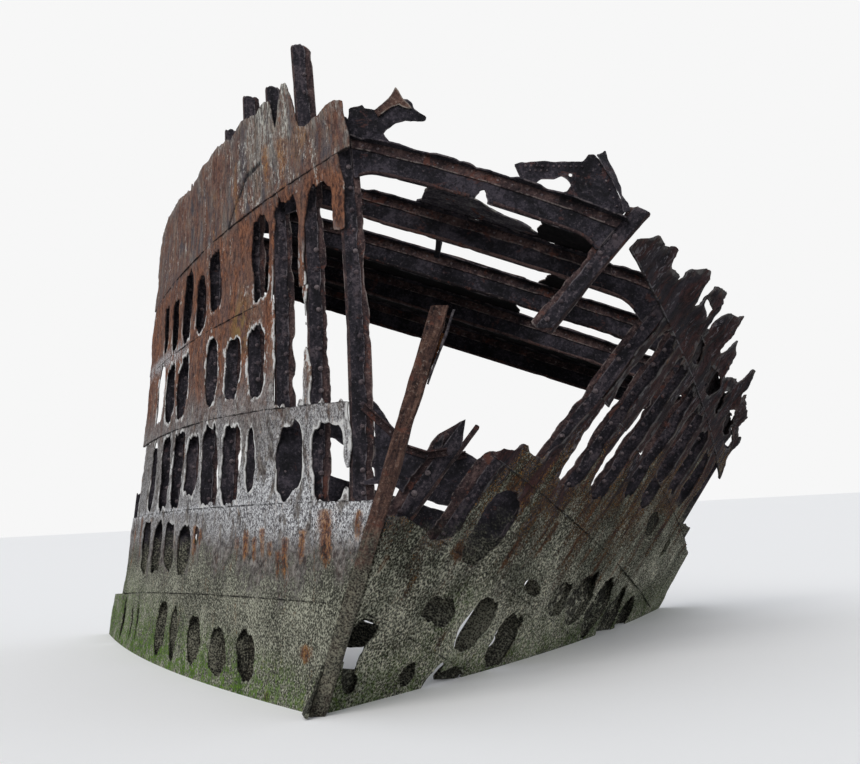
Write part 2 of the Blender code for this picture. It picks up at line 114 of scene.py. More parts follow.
def half_breadth(a, h):
    sheer = seam(1, a)
    side = form(a, sheer)
    bulwark = side + (form(a, 5.0) - side) * (h - sheer) / (5.0 - sheer)
    return np.where(h <= sheer, form(a, h), bulwark)


def frame_a(f):
    return FRAME_1 + (f - 1.0) * PITCH


def frame_f(a):
    return (a - FRAME_1) / PITCH + 1.0


def row(a, h):
    """Row of a height: 1 on the first seam, 2 on the second, below 5 and above 1 in metres."""
    edges = [seam(k, a) for k in range(1, 6)]
    r = 1.0 - (h - edges[0])
    for k in range(4):
        part = (edges[k] - h) / (edges[k] - edges[k + 1])
        r = np.where(h < edges[k], k + 1.0 + part, r)
    return np.where(h < edges[4], 5.0 + edges[4] - h, r)


def heel(a, b, h):
    a, b, h = np.broadcast_arrays(np.asarray(a, float), b, h)
    x = b * math.cos(HEEL) + h * math.sin(HEEL)
    z = -b * math.sin(HEEL) + h * math.cos(HEEL)
    return np.stack((x, a * math.cos(TRIM) + z * math.sin(TRIM),
                     -a * math.sin(TRIM) + z * math.cos(TRIM)), axis=-1)


def find_shift():
    """From heeled axes to the frame's: the stem bar's head is its farthest point to port and ahead."""
    head = heel(stem_a(STEM_TOP) + STEM_FORE, STEM_W / 2, STEM_TOP)
    low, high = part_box("stem_bar")
    return np.array((high.x - head[0], low.y - head[1], 0.0))


SHIFT = find_shift()


def to_part(a, b, h):
    return heel(a, b, h) + SHIFT


AHEAD = to_part(0.0, 0.0, 0.0) - to_part(1.0, 0.0, 0.0)


def ground_h(a, b, a_of_h=None):
    """Height at which a line b(h) at station a comes out of the ground."""
    lo, hi = np.full(np.shape(a), -3.0), np.full(np.shape(a), 6.0)
    for _ in range(30):
        mid = 0.5 * (lo + hi)
        below = to_part(a_of_h(mid) if a_of_h else a, b(mid), mid)[..., 2] < 0.0
        lo, hi = np.where(below, mid, lo), np.where(below, hi, mid)
    return 0.5 * (lo + hi)


# ---------------------------------------------------------------- noise and profiles

def lattice(cell, seed):
    """A fixed value from -1 to 1 for each cell."""
    with np.errstate(over="ignore"):
        n = cell[0] * 374761393 + cell[1] * 668265263 + cell[2] * 1103515245 + seed * 1274126177
        n = (n ^ (n >> 13)) * 1274126177 & 0x7fffffff
    return ((n ^ (n >> 16)) & 0xffff) / 32767.5 - 1.0


def noise(x, y, z=0.0, seed=0):
    """Smooth noise from -1 to 1, one bump to a unit."""
    p = np.stack(np.broadcast_arrays(np.asarray(x, float), y, z))
    base = np.floor(p).astype(np.int64)
    w = p - base
    w = w * w * (3.0 - 2.0 * w)
    total = 0.0
    for k in range(8):
        corner = np.array([(k >> n) & 1 for n in range(3)]).reshape((3,) + (1,) * (p.ndim - 1))
        weight = np.prod(np.where(corner == 1, w, 1.0 - w), axis=0)
        total = total + weight * lattice(base + corner, seed)
    return total


def rough(x, y, seed, size, octaves=3):
    """Several sizes of noise on top of each other, the coarsest of that size."""
    total, gain = 0.0, 1.0
    for k in range(octaves):
        total = total + gain * noise(x / size, y / size, 3.7 * k, seed + k)
        size, gain = size * 0.48, gain * 0.55
    return total


def smooth(value, low, high):
    t = np.clip((value - low) / (high - low), 0.0, 1.0)
    return t * t * (3.0 - 2.0 * t)


def hill(x, at, width):
    return np.exp(-((x - at) / width) ** 2)


def profile(table, x):
    return np.interp(x, *zip(*table))


def seed_of(name):
    return sum(ord(c) for c in name)


# ---------------------------------------------------------------- meshes

class Body:
    """Points, faces and point marks that build up one piece."""

    def __init__(self):
        self.points, self.faces, self.coats, self.marks = [], [], [], {}
        self.count = 0

    def add(self, points, faces, coat=0, **marks):
        points = np.asarray(points, float).reshape(-1, 3)
        for face in faces:
            self.faces.append([v + self.count for v in face])
        self.coats += [coat] * len(faces)
        for name in set(self.marks) | set(marks):
            past = self.marks.setdefault(name, np.zeros(self.count))
            new = np.broadcast_to(np.asarray(marks.get(name, 0.0), float), (len(points),))
            self.marks[name] = np.concatenate((past, new))
        self.points.append(points)
        self.count += len(points)

    def piece(self, name, materials, replaced=(), slot=None, sharp=50.0):
        mesh = bpy.data.meshes.new(name)
        points = np.clip(np.concatenate(self.points), LOW, HIGH)
        mesh.from_pydata(points.tolist(), [], self.faces)
        mesh.polygons.foreach_set("material_index", self.coats)
        for mark, values in self.marks.items():
            layer = mesh.attributes.new(mark, "FLOAT", "POINT")
            layer.data.foreach_set("value", values.astype(np.float32))
        for material in materials:
            mesh.materials.append(material)
        bm = bmesh.new()
        bm.from_mesh(mesh)
        bmesh.ops.recalc_face_normals(bm, faces=bm.faces[:])
        bm.to_mesh(mesh)
        bm.free()
        mesh.shade_smooth()
        mesh.set_sharp_from_angle(angle=math.radians(sharp))
        obj = bpy.data.objects.new(name, mesh)
        bpy.context.scene.collection.objects.link(obj)
        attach(obj, "root")
        if replaced:
            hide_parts(*replaced)


def grid_faces(inside, corner, side, total):
    """Faces of a cut grid, front and back, and the pairs of points along its inner edges."""
    here, there = slice(None, -1), slice(1, None)
    code = sum(inside[s].astype(int) << k for k, s in enumerate(
        ((here, here), (there, here), (there, there), (here, there))))
    faces, walls = [], []
    for case in range(1, 16):
        cells = code == case
        if not cells.any():
            continue
        loop = []
        for k in range(4):
            now, then = case >> k & 1, case >> (k + 1) % 4 & 1
            if now:
                loop.append((corner[k][cells], "corner"))
            if now != then:
                loop.append((side[k][cells], "out" if now else "in"))
        stack = np.stack([values for values, _ in loop], axis=1)
        faces += stack.tolist()
        faces += (stack[:, ::-1] + total).tolist()
        for (p, kind_p), (q, kind_q) in zip(loop, loop[1:] + loop[:1]):
            if kind_p == "out" and kind_q == "in":
                walls.append(np.stack((p, q), axis=1))
    return faces, walls


def sheet(body, front, back, keep, coat=0, inner=False, **marks):
    """Closed plate between two grids of points, kept where keep > 0, its edge found by interpolation."""
    inside = keep > 0.0
    if not inside.any():
        return
    cross_i = inside[:-1] != inside[1:]
    cross_j = inside[:, :-1] != inside[:, 1:]
    total, ids = 0, []
    for cut in (inside, cross_i, cross_j):
        numbers = np.full(cut.shape, -1)
        numbers[cut] = total + np.arange(cut.sum())
        total += int(cut.sum())
        ids.append(numbers)
    number, id_i, id_j = ids
    with np.errstate(divide="ignore", invalid="ignore"):
        t_i = np.clip((keep[:-1] / (keep[:-1] - keep[1:]))[cross_i], 0.06, 0.94)
        t_j = np.clip((keep[:, :-1] / (keep[:, :-1] - keep[:, 1:]))[cross_j], 0.06, 0.94)

    def gather(field):
        wi = t_i.reshape((-1,) + (1,) * (field.ndim - 2))
        wj = t_j.reshape((-1,) + (1,) * (field.ndim - 2))
        along_i = field[:-1][cross_i] * (1.0 - wi) + field[1:][cross_i] * wi
        along_j = field[:, :-1][cross_j] * (1.0 - wj) + field[:, 1:][cross_j] * wj
        return np.concatenate((field[inside], along_i, along_j))

    corner = (number[:-1, :-1], number[1:, :-1], number[1:, 1:], number[:-1, 1:])
    side = (id_i[:, :-1], id_j[1:], id_i[:, 1:], id_j[:-1])
    faces, walls = grid_faces(inside, corner, side, total)
    for line, cross, cut in ((0, cross_j[0], id_j[0]), (-1, cross_j[-1], id_j[-1]),
                             ((slice(None), 0), cross_i[:, 0], id_i[:, 0]),
                             ((slice(None), -1), cross_i[:, -1], id_i[:, -1])):
        num, kept = number[line], inside[line]
        both = kept[:-1] & kept[1:]
        walls.append(np.stack((num[:-1][both], num[1:][both]), axis=1))
        near = np.where(kept[:-1], num[:-1], num[1:])
        walls.append(np.stack((near[cross], cut[cross]), axis=1))
    edges = np.concatenate(walls)
    faces += np.stack((edges[:, 0], edges[:, 1], edges[:, 1] + total, edges[:, 0] + total), axis=1).tolist()
    doubled = {}
    for name, field in marks.items():
        values = gather(np.broadcast_to(np.asarray(field, float), keep.shape))
        doubled[name] = np.concatenate((values, values))
    edge = gather(np.broadcast_to(keep, keep.shape))
    edge[inside.sum():] = 0.0
    doubled["edge"] = np.clip(np.concatenate((edge, edge)), 0.0, 0.5)
    if inner:
        doubled["inner"] = np.repeat((0.0, 1.0), total)
    body.add(np.concatenate((gather(front), gather(back))), faces, coat, **doubled)


def outline_keep(x, y, outline):
    """Signed distance to a closed outline, positive inside."""
    best, inside = np.full(np.shape(x), 9.0), np.zeros(np.shape(x), bool)
    for (x0, y0), (x1, y1) in zip(outline, outline[1:] + outline[:1]):
        dx, dy = x1 - x0, y1 - y0
        t = np.clip(((x - x0) * dx + (y - y0) * dy) / (dx * dx + dy * dy), 0.0, 1.0)
        best = np.minimum(best, np.hypot(x - x0 - t * dx, y - y0 - t * dy))
        crosses = (y0 > y) != (y1 > y)
        with np.errstate(divide="ignore", invalid="ignore"):
            inside ^= crosses & (x < x0 + (y - y0) * dx / dy)
    return np.where(inside, best, -best)


RIVET_SIDES = 8


def rivets(body, a, b, h, up, radius, height, coat=2, mark_a=None):
    """Rivet heads at (a, b, h) pointing along up: small closed domes, let 3 mm into what carries them."""
    up = up / np.linalg.norm(up)
    u = np.cross(up, (0.31, 0.2, 0.93))
    u /= np.linalg.norm(u)
    v = np.cross(up, u)
    mark_a = a if mark_a is None else mark_a
    turn = np.arange(RIVET_SIDES) * 2.0 * math.pi / RIVET_SIDES
    ring = np.cos(turn)[:, None] * u + np.sin(turn)[:, None] * v
    faces = [list(range(RIVET_SIDES))[::-1]]
    for k in range(RIVET_SIDES):
        m = (k + 1) % RIVET_SIDES
        faces.append([k, m, RIVET_SIDES + m, RIVET_SIDES + k])
        faces.append([RIVET_SIDES + k, RIVET_SIDES + m, 2 * RIVET_SIDES])
    for n, c in enumerate(to_part(a, b, h)):
        size = radius * (0.82 + 0.3 * rng.random())
        points = np.concatenate((c + ring * size - up * 0.003, c + ring * size * 0.72 + up * height * 0.7,
                                 [c + up * height]))
        body.add(points, faces, coat, edge=0.3, **ship_marks(mark_a, b[n], h[n]))


def loft(body, rings, coat=0, **marks):
    """Closed body through equal rings of points."""
    rings = np.asarray(rings, float)
    count, n = rings.shape[:2]
    faces = [list(range(n)), [(count - 1) * n + k for k in range(n)][::-1]]
    for r in range(count - 1):
        for k in range(n):
            m = (k + 1) % n
            faces.append([r * n + k, r * n + m, (r + 1) * n + m, (r + 1) * n + k])
    body.add(rings.reshape(-1, 3), faces, coat, **marks)


def ship_marks(a, b, h):
    return {"ship_a": a, "ship_h": h, "ship_b": b}


# ---------------------------------------------------------------- finishes

def srgb(r, g, b):
    """Colour from 0-255 screen values."""
    out = []
    for c in (r, g, b):
        c /= 255.0
        out.append(c / 12.92 if c <= 0.04045 else ((c + 0.055) / 1.055) ** 2.4)
    return tuple(out) + (1.0,)


def tint(colour):
    """Three screen values become a colour; a socket or a linear colour with alpha passes through."""
    if isinstance(colour, bpy.types.NodeSocket) or len(colour) == 4:
        return colour
    return srgb(*colour)


class Graph:
    """Short ways to write a material's nodes."""

    def __init__(self, name, roughness):
        self.material = bpy.data.materials.new(name)
        self.material.use_nodes = True
        self.tree = self.material.node_tree
        self.shader = self.tree.nodes["Principled BSDF"]
        self.shader.inputs["Roughness"].default_value = roughness
        self.shader.inputs["Specular IOR Level"].default_value = 0.25
        self.where = self.node("ShaderNodeTexCoord").outputs["Object"]
        self.z = self.node("ShaderNodeSeparateXYZ", {0: self.where}).outputs[2]

    def node(self, kind, inputs=(), **settings):
        node = self.tree.nodes.new(kind)
        for key, value in settings.items():
            setattr(node, key, value)
        for key, value in dict(inputs).items():
            if isinstance(value, bpy.types.NodeSocket):
                self.tree.links.new(value, node.inputs[key])
            else:
                node.inputs[key].default_value = value
        return node

    def mark(self, name):
        return self.node("ShaderNodeAttribute", attribute_name=name).outputs["Fac"]

    def noise(self, where, scale, detail, rough, warp):
        return self.node("ShaderNodeTexNoise", {"Vector": where, "Scale": scale, "Detail": detail,
                                                "Roughness": rough, "Distortion": warp}).outputs["Fac"]

    def spots(self, scale, detail, rough, warp=0.0):
        """Noise alike in all directions."""
        return self.noise(self.where, scale, detail, rough, warp)

    def streaks(self, across, down, detail, rough, warp=0.0, scale=1.0):
        """Noise in ship coordinates, stretched to run down the frames."""
        a = self.times(self.mark("ship_a"), across)
        b = self.times(self.mark("ship_b"), across * 0.35)
        h = self.times(self.mark("ship_h"), down)
        where = self.node("ShaderNodeCombineXYZ", {0: a, 1: b, 2: h}).outputs[0]
        return self.noise(where, scale, detail, rough, warp)

    def math(self, kind, a, b, clamp=False):
        return self.node("ShaderNodeMath", {0: a, 1: b}, operation=kind, use_clamp=clamp).outputs[0]

    def add(self, first, *others):
        for other in others:
            first = self.math("ADD", first, other)
        return first

    def times(self, first, *others):
        for other in others:
            first = self.math("MULTIPLY", first, other)
        return first

    def less(self, a, b):
        return self.math("SUBTRACT", a, b)

    def sway(self, value, amount):
        """A noise's swing to both sides of its middle."""
        return self.times(self.less(value, 0.5), amount)

    def step(self, value, low, high):
        return self.node("ShaderNodeMapRange", {"Value": value, "From Min": low, "From Max": high},
                         interpolation_type="SMOOTHSTEP").outputs["Result"]

    def ramp(self, value, *stops):
        """Colour ramp through stops of a position and a colour's values."""
        node = self.node("ShaderNodeValToRGB", {"Fac": value})
        ends = node.color_ramp.elements
        colours = [(position, tint(colour)) for position, *colour in stops]
        ends[0].position, ends[0].color = colours[0]
        ends[1].position, ends[1].color = colours[-1]
        for position, colour in colours[1:-1]:
            ends.new(position).color = colour
        return node.outputs["Color"]

    def mix(self, factor, a, b, blend="MIX"):
        return self.node("ShaderNodeMix", {0: factor, 6: tint(a), 7: tint(b)}, data_type="RGBA",
                         blend_type=blend).outputs[2]

    def finish(self, colour, relief, depth):
        self.tree.links.new(colour, self.shader.inputs["Base Color"])
        bump = self.node("ShaderNodeBump", {"Height": relief, "Distance": depth, "Strength": 1.0})
        self.tree.links.new(bump.outputs[0], self.shader.inputs["Normal"])
        return self.material


# Ramps: position on the noise and a screen colour, or four linear values where they multiply.
GRAIN = ((0.41, 0.62, 0.60, 0.61, 1.0), (0.50, 0.92, 0.92, 0.92, 1.0), (0.57, 1.0, 1.0, 1.0, 1.0))
PITTED = ((0.38, 0.16, 0.15, 0.16, 1.0), (0.45, 0.76, 0.74, 0.74, 1.0), (0.50, 1.0, 1.0, 1.0, 1.0))
SHELL_FIELD = ((0.42, 0.74, 0.76, 0.70, 1.0), (0.56, 1.30, 1.29, 1.24, 1.0))
LIME = ((0.41, 40, 37, 39), (0.46, 100, 96, 97), (0.50, 170, 168, 169), (0.545, 240, 239, 238))
# port rust tones: partly the port side's own rust, partly painted shade, darker than the starboard's for the
# overhung side
PORT_SHADED_TONES = {
    "bands": ((0.39, 58, 54, 64), (0.46, 42, 36, 41), (0.53, 62, 43, 45), (0.60, 100, 56, 50)),
    "other": ((0.41, 14, 12, 16), (0.50, 46, 38, 43), (0.60, 88, 78, 84)),
    "patina": ((0.42, 50, 47, 52), (0.58, 72, 58, 56)),
    "warm": ((0.41, 42, 26, 27), (0.59, 108, 60, 52)),
    "fleck": (132, 126, 130),
    "lichen": ((0.44, 50, 47, 50), (0.55, 122, 116, 104)),
    "runs": ((0.41, 40, 27, 24), (0.48, 88, 54, 38), (0.57, 150, 98, 52))}
STB_TONES = {
    "bands": ((0.39, 108, 104, 108), (0.46, 114, 96, 91), (0.52, 124, 93, 77), (0.57, 146, 88, 60),
              (0.62, 122, 70, 52)),
    "other": ((0.40, 58, 50, 53), (0.48, 106, 86, 78), (0.55, 128, 104, 90), (0.61, 160, 152, 136)),
    "patina": ((0.41, 94, 90, 96), (0.50, 112, 94, 88), (0.58, 150, 124, 108)),
    "warm": ((0.41, 92, 56, 44), (0.59, 160, 104, 72)),
    "fleck": (218, 214, 204),
    "lichen": ((0.44, 92, 88, 86), (0.55, 224, 221, 208)),
    "runs": ((0.41, 50, 30, 27), (0.48, 110, 62, 40), (0.57, 172, 122, 68))}


def barnacles(g, light, middle, dark, scale):
    """Crust of small shells: pale tips over dark gaps. Returns colour and relief."""
    shells = g.node("ShaderNodeTexVoronoi", {"Vector": g.where, "Scale": scale}).outputs["Distance"]
    grain = g.spots(scale * 1.35, 4.0, 0.72)
    value = g.add(g.times(shells, 0.40), g.times(grain, 0.95), g.sway(g.spots(1.8, 3.0, 0.6), 0.35))
    return g.ramp(value, (0.50, *dark), (0.66, *middle), (0.82, *light)), value


def upper_rust(g, tones, grit, blotch):
    """Scale of the upper strakes: soft upright bands of several rusts, pale flecks, dark cracks."""
    hue = g.streaks(6.5, 1.6, 2.5, 0.50, 0.9)
    other = g.streaks(5.6, 1.4, 2.5, 0.55, 1.0, 1.3)
    fine = g.streaks(24.0, 13.0, 6.0, 0.74, 0.6)
    bias = g.times(g.mark("ash"), 0.07)
    colour = g.mix(0.48, g.ramp(hue, *tones["bands"]), g.ramp(g.add(other, bias), *tones["other"]))
    colour = g.mix(0.35, colour, g.ramp(blotch, *tones["patina"]))
    warm = g.step(g.less(g.streaks(4.2, 1.8, 3.5, 0.60, 0.9), bias), 0.50, 0.56)
    share = g.math("ADD", g.times(warm, 0.40), g.times(g.mark("warm"), 0.5), clamp=True)
    colour = g.mix(share, colour, g.ramp(fine, *tones["warm"]))
    colour = g.mix(0.9, colour, g.ramp(fine, *GRAIN), "MULTIPLY")
    colour = g.mix(0.6, colour, g.ramp(grit, *PITTED), "MULTIPLY")
    cluster = g.step(g.add(g.streaks(7.0, 2.0, 4.0, 0.6, 0.8), bias), 0.52, 0.60)
    flecks = g.times(g.step(g.streaks(34.0, 15.0, 5.0, 0.75, 0.6), 0.53, 0.59), cluster, 0.85)
    colour = g.mix(flecks, colour, tones["fleck"])
    fissure = g.step(g.add(g.streaks(17.0, 2.6, 4.0, 0.65, 1.2), bias), 0.60, 0.64)
    fissure = g.times(fissure, g.step(blotch, 0.45, 0.54), 0.7)
    return g.mix(g.math("MAXIMUM", fissure, g.mark("crack")), colour, (24, 20, 23))


def lichen(g, colour, tones):
    """Pale fringe where the marks ask for it."""
    where = g.times(g.mark("pale"), g.step(g.streaks(22.0, 4.0, 6.0, 0.74, 0.5), 0.45, 0.52))
    return g.mix(where, colour, g.ramp(g.streaks(30.0, 9.0, 5.0, 0.72, 0.5), *tones["lichen"]))


def ochre_and_scale(g, colour, blotch):
    """Starboard only: an ochre stain, and grey scale that takes over further down."""
    ochre = g.times(g.mark("ochre"), g.step(blotch, 0.44, 0.54), 0.7)
    colour = g.mix(ochre, colour, (150, 122, 66))
    scale = g.ramp(g.spots(17.0, 7.0, 0.75), (0.40, 40, 37, 38), (0.50, 104, 99, 95), (0.60, 156, 151, 144))
    return g.mix(g.times(g.mark("lower"), 0.85), colour, scale)


def lime_and_rims(g, colour, grit, blotch):
    """White lime in its band and along the openings' edges."""
    speck = g.add(g.times(grit, 0.55), g.times(g.spots(62.0, 4.0, 0.7), 0.45))
    band = g.times(g.mark("bleach"), g.step(g.streaks(6.0, 3.0, 6.0, 0.7), 0.40, 0.50))
    colour = g.mix(band, colour, g.ramp(speck, *LIME))
    near = g.step(g.add(g.mark("edge"), g.sway(blotch, 0.20)), 0.028, 0.010)
    rim = g.times(near, g.mark("rim"), g.step(g.spots(4.5, 5.0, 0.7), 0.44, 0.52))
    return g.mix(rim, colour, (228, 225, 220))


def port_shore(g, colour, drift):
    """Barnacles that climb the rust in runs, under a gold fringe."""
    shells, crust = barnacles(g, (226, 223, 204), (112, 110, 94), (28, 27, 23), 46.0)
    shells = g.mix(1.0, shells, g.ramp(g.spots(1.5, 5.0, 0.62), *SHELL_FIELD), "MULTIPLY")
    tide = g.add(g.z, drift, g.sway(g.streaks(4.6, 0.7, 5.0, 0.6, 0.4), 3.6))
    grain = g.spots(70.0, 4.0, 0.7)
    mask = g.step(g.add(tide, g.sway(grain, 3.4)), 1.40, 1.02)
    gold = g.times(g.step(tide, 1.9, 1.6), g.step(tide, 0.95, 1.35), g.step(grain, 0.565, 0.60), 0.85)
    return g.mix(gold, colour, (198, 146, 68)), shells, crust, mask


def stb_shore(g, colour, drift, grit):
    """Barnacles up to a soft, wavy line."""
    shells, crust = barnacles(g, (200, 198, 176), (104, 103, 88), (30, 29, 24), 50.0)
    tide = g.add(g.z, drift, g.sway(g.streaks(2.2, 0.6, 5.0, 0.6), 1.2))
    return colour, shells, crust, g.step(g.add(tide, g.sway(grit, 0.8)), 1.22, 0.86)


def rust_runs(g, colour, tones, streak, grit, blotch):
    """Rust that has run down from the marks' places, with a thin veil around it."""
    stain = g.mark("stain")
    ragged = g.add(streak, g.sway(grit, 0.6))
    run = g.step(g.add(stain, g.sway(ragged, 2.6)), 0.30, 0.72)
    depth = g.add(g.times(grit, 0.6), g.times(blotch, 0.4))
    rust = g.ramp(g.less(depth, g.sway(run, 0.05)), *tones["runs"])
    veil = g.times(g.step(g.add(stain, g.less(streak, 0.5)), 0.08, 0.5), 0.5)
    return g.mix(g.math("MAXIMUM", g.times(run, 0.86), veil), colour, rust)


def weed_and_seams(g, colour, port, grit, blotch):
    """Green weed near the sand, and the line of each seam, limed on the upper port side."""
    weed = g.times(g.mark("weed"), g.step(g.add(blotch, g.times(grit, 0.5)), 0.68, 0.82))
    colour = g.mix(weed, colour, g.ramp(grit, (0.40, 32, 46, 16), (0.50, 72, 102, 32), (0.60, 124, 160, 52)))
    line = g.times(g.step(g.mark("seam_d"), 0.009, 0.003), g.step(g.spots(12.0, 3.0, 0.6), 0.42, 0.54), 0.8)
    dark, limed = (28, 24, 25), (128, 124, 126)
    return g.mix(line, colour, g.mix(g.step(g.z, 1.5, 1.9), dark, limed) if port else dark)


def plating_finish(name, port):
    """Shell plating from the sky down: rust, lime-white band, rust runs, barnacles, weed at the sand; painted
    shade on its inner face.
    """
    g = Graph(name, 0.9)
    tones = PORT_SHADED_TONES if port else STB_TONES
    streak = g.streaks(11.0, 1.7, 7.0, 0.68, 0.7)
    grit = g.spots(30.0, 7.0, 0.78)
    blotch = g.spots(7.5, 6.0, 0.68)
    colour = lichen(g, upper_rust(g, tones, grit, blotch), tones)
    if not port:
        colour = ochre_and_scale(g, colour, blotch)
    colour = lime_and_rims(g, colour, grit, blotch)
    drift = g.sway(blotch, 0.7)
    colour, shells, crust, tide = port_shore(g, colour, drift) if port else stb_shore(g, colour, drift, grit)
    colour = g.mix(tide, colour, shells)
    colour = rust_runs(g, colour, tones, streak, grit, blotch)
    colour = weed_and_seams(g, colour, port, grit, blotch)
    # painted shade: the inner face is painted near black above, with dimmed barnacles lower down
    shade = g.ramp(streak, (0.42, 17, 16, 18), (0.60, 62, 49, 47))
    dim = g.mix(g.step(g.z, 1.3, 0.7), shade, g.mix(0.80, shells, (38, 38, 31)))
    colour = g.mix(g.mark("inner"), colour, dim)
    relief = g.add(g.times(streak, 0.5), g.times(blotch, 0.6), g.times(grit, 0.7), g.times(crust, 1.1, tide))
    return g.finish(colour, relief, 0.022)


def iron_finish(name, dark, middle, light, patch, patch_share, tip, crust_tone=0.0, top=False):
    """Bare rusted bar: dark scale, flakes of another colour, rims lighter from wear and painted highlight,
    barnacles near the ground.
    """
    g = Graph(name, 0.85)
    scale = g.streaks(10.0, 4.0, 7.0, 0.70, 0.4)
    grit = g.spots(38.0, 6.0, 0.78)
    blotch = g.spots(9.0, 6.0, 0.70)
    value = g.add(g.times(scale, 0.6), g.times(grit, 0.4))
    colour = g.ramp(value, (0.41, *dark), (0.50, *middle), (0.58, *light))
    flake = g.step(g.spots(5.5, 6.0, 0.72, 0.7), 0.62 - patch_share, 0.67 - patch_share)
    colour = g.mix(g.times(flake, 0.75), colour, patch)
    colour = g.mix(g.times(g.step(grit, 0.57, 0.66), 0.5), colour, tip)
    if top:                                 # scaled and rusted where rain lies on it
        rust = g.ramp(g.add(g.times(blotch, 0.6), g.times(grit, 0.4)),
                      (0.42, 44, 34, 35), (0.49, 92, 66, 56), (0.56, 142, 104, 80))
        colour = g.mix(g.mark("inner"), rust, colour)
    # cut edges take the tip colour in patches: partly worn rims, partly a painted highlight
    rim = g.times(g.step(g.mark("edge"), 0.014, 0.002), g.step(blotch, 0.46, 0.56), 0.6)
    colour = g.mix(rim, colour, tip)
    pit = g.step(g.spots(21.0, 4.0, 0.7), 0.43, 0.36)
    colour = g.mix(g.times(pit, 0.7), colour, (14, 12, 14))
    crusted = [c + crust_tone for c in (66, 65, 54)]
    shells, crust = barnacles(g, (150, 147, 127), crusted, (24, 23, 20), 60.0)
    low = g.step(g.add(g.z, g.sway(blotch, 1.2)), 1.45, 0.95)
    colour = g.mix(g.times(low, 0.85), colour, shells)
    relief = g.add(g.times(blotch, 0.9), g.times(grit, 0.6), g.times(crust, g.times(low, 0.8)))
    return g.finish(colour, relief, 0.018)


STB_PLATING = plating_finish("stb_plating", False)
# port plating and its linings: darker tones that carry painted shade
PORT_PLATING = plating_finish("port_plating", True)
# name, dark, middle, light, flakes, share of flakes, worn tips and painted edge highlight, lighter crust,
# rusted on top
IRONS = (
    # web_iron: rust colours partly darkened as painted shade for the port frames in shadow; every piece with
    # this finish shares it
    ("web_iron", (18, 16, 20), (42, 38, 44), (78, 69, 73), (70, 47, 46), 0.0, (126, 118, 120)),
    ("bar_iron", (30, 24, 27), (62, 47, 47), (98, 77, 73), (98, 60, 50), 0.06, (148, 136, 130)),
    ("beam_iron", (14, 12, 16), (37, 34, 40), (68, 62, 69), (78, 52, 49), 0.03, (112, 102, 102)),
    ("stem_iron", (48, 36, 36), (86, 62, 54), (124, 94, 80), (106, 66, 54), 0.05, (166, 158, 148), 26.0),
    ("rivet_iron", (44, 38, 42), (84, 73, 76), (126, 114, 114), (112, 72, 60), 0.02, (140, 130, 126)),
    ("deck_iron", (6, 5, 6), (18, 15, 17), (36, 30, 30), (54, 36, 32), 0.0, (66, 60, 60), 0.0, True),
    ("grey_iron", (40, 36, 44), (84, 78, 84), (122, 116, 118), (112, 66, 52), 0.04, (178, 172, 160)),
    ("red_iron", (84, 40, 28), (140, 70, 42), (176, 104, 58), (110, 52, 36), 0.04, (176, 130, 92)))
WEB_IRON, BAR_IRON, BEAM_IRON, STEM_IRON, RIVET_IRON, DECK_IRON, GREY_IRON, RED_IRON = [
    iron_finish(*iron) for iron in IRONS]

# ---------------------------------------------------------------- shell plating

# top edge of the bulwark: (f, h)
STB_TOP = ((0.62, 4.50), (0.70, 4.62), (1.04, 4.63), (1.52, 4.60), (1.80, 4.56), (1.98, 4.60), (2.12, 4.85),
           (2.30, 5.03), (2.42, 5.05), (2.56, 4.90), (2.70, 4.66), (2.80, 4.80), (2.92, 4.98), (3.10, 5.02),
           (3.40, 4.95), (3.80, 4.97), (4.10, 4.99), (4.40, 4.94), (4.80, 4.91), (5.20, 4.95), (5.70, 4.93),
           (6.30, 4.91), (7.00, 4.83), (7.25, 4.80), (7.34, 4.88), (7.42, 4.82), (8.40, 4.88), (8.80, 4.90),
           (10.40, 4.87), (11.10, 4.82), (11.50, 4.72), (11.66, 4.30))
PORT_TOP = ((1.10, 4.30), (1.28, 4.35), (1.53, 4.45), (2.08, 4.51), (2.14, 4.41), (2.64, 4.41), (2.80, 4.57),
            (3.17, 4.67), (3.37, 4.60), (3.50, 4.38), (3.64, 4.42), (3.79, 4.70), (4.20, 4.78), (4.47, 4.80),
            (4.53, 4.62), (4.66, 4.40), (4.85, 4.69), (5.20, 4.80), (5.61, 4.83), (5.66, 4.45), (5.80, 4.50),
            (5.92, 4.65), (6.30, 4.64), (6.60, 4.40), (7.26, 4.48), (7.60, 4.60), (7.75, 4.79), (8.07, 4.82),
            (8.38, 4.45), (8.69, 4.61), (9.64, 4.62), (10.41, 4.41), (10.9, 4.38))

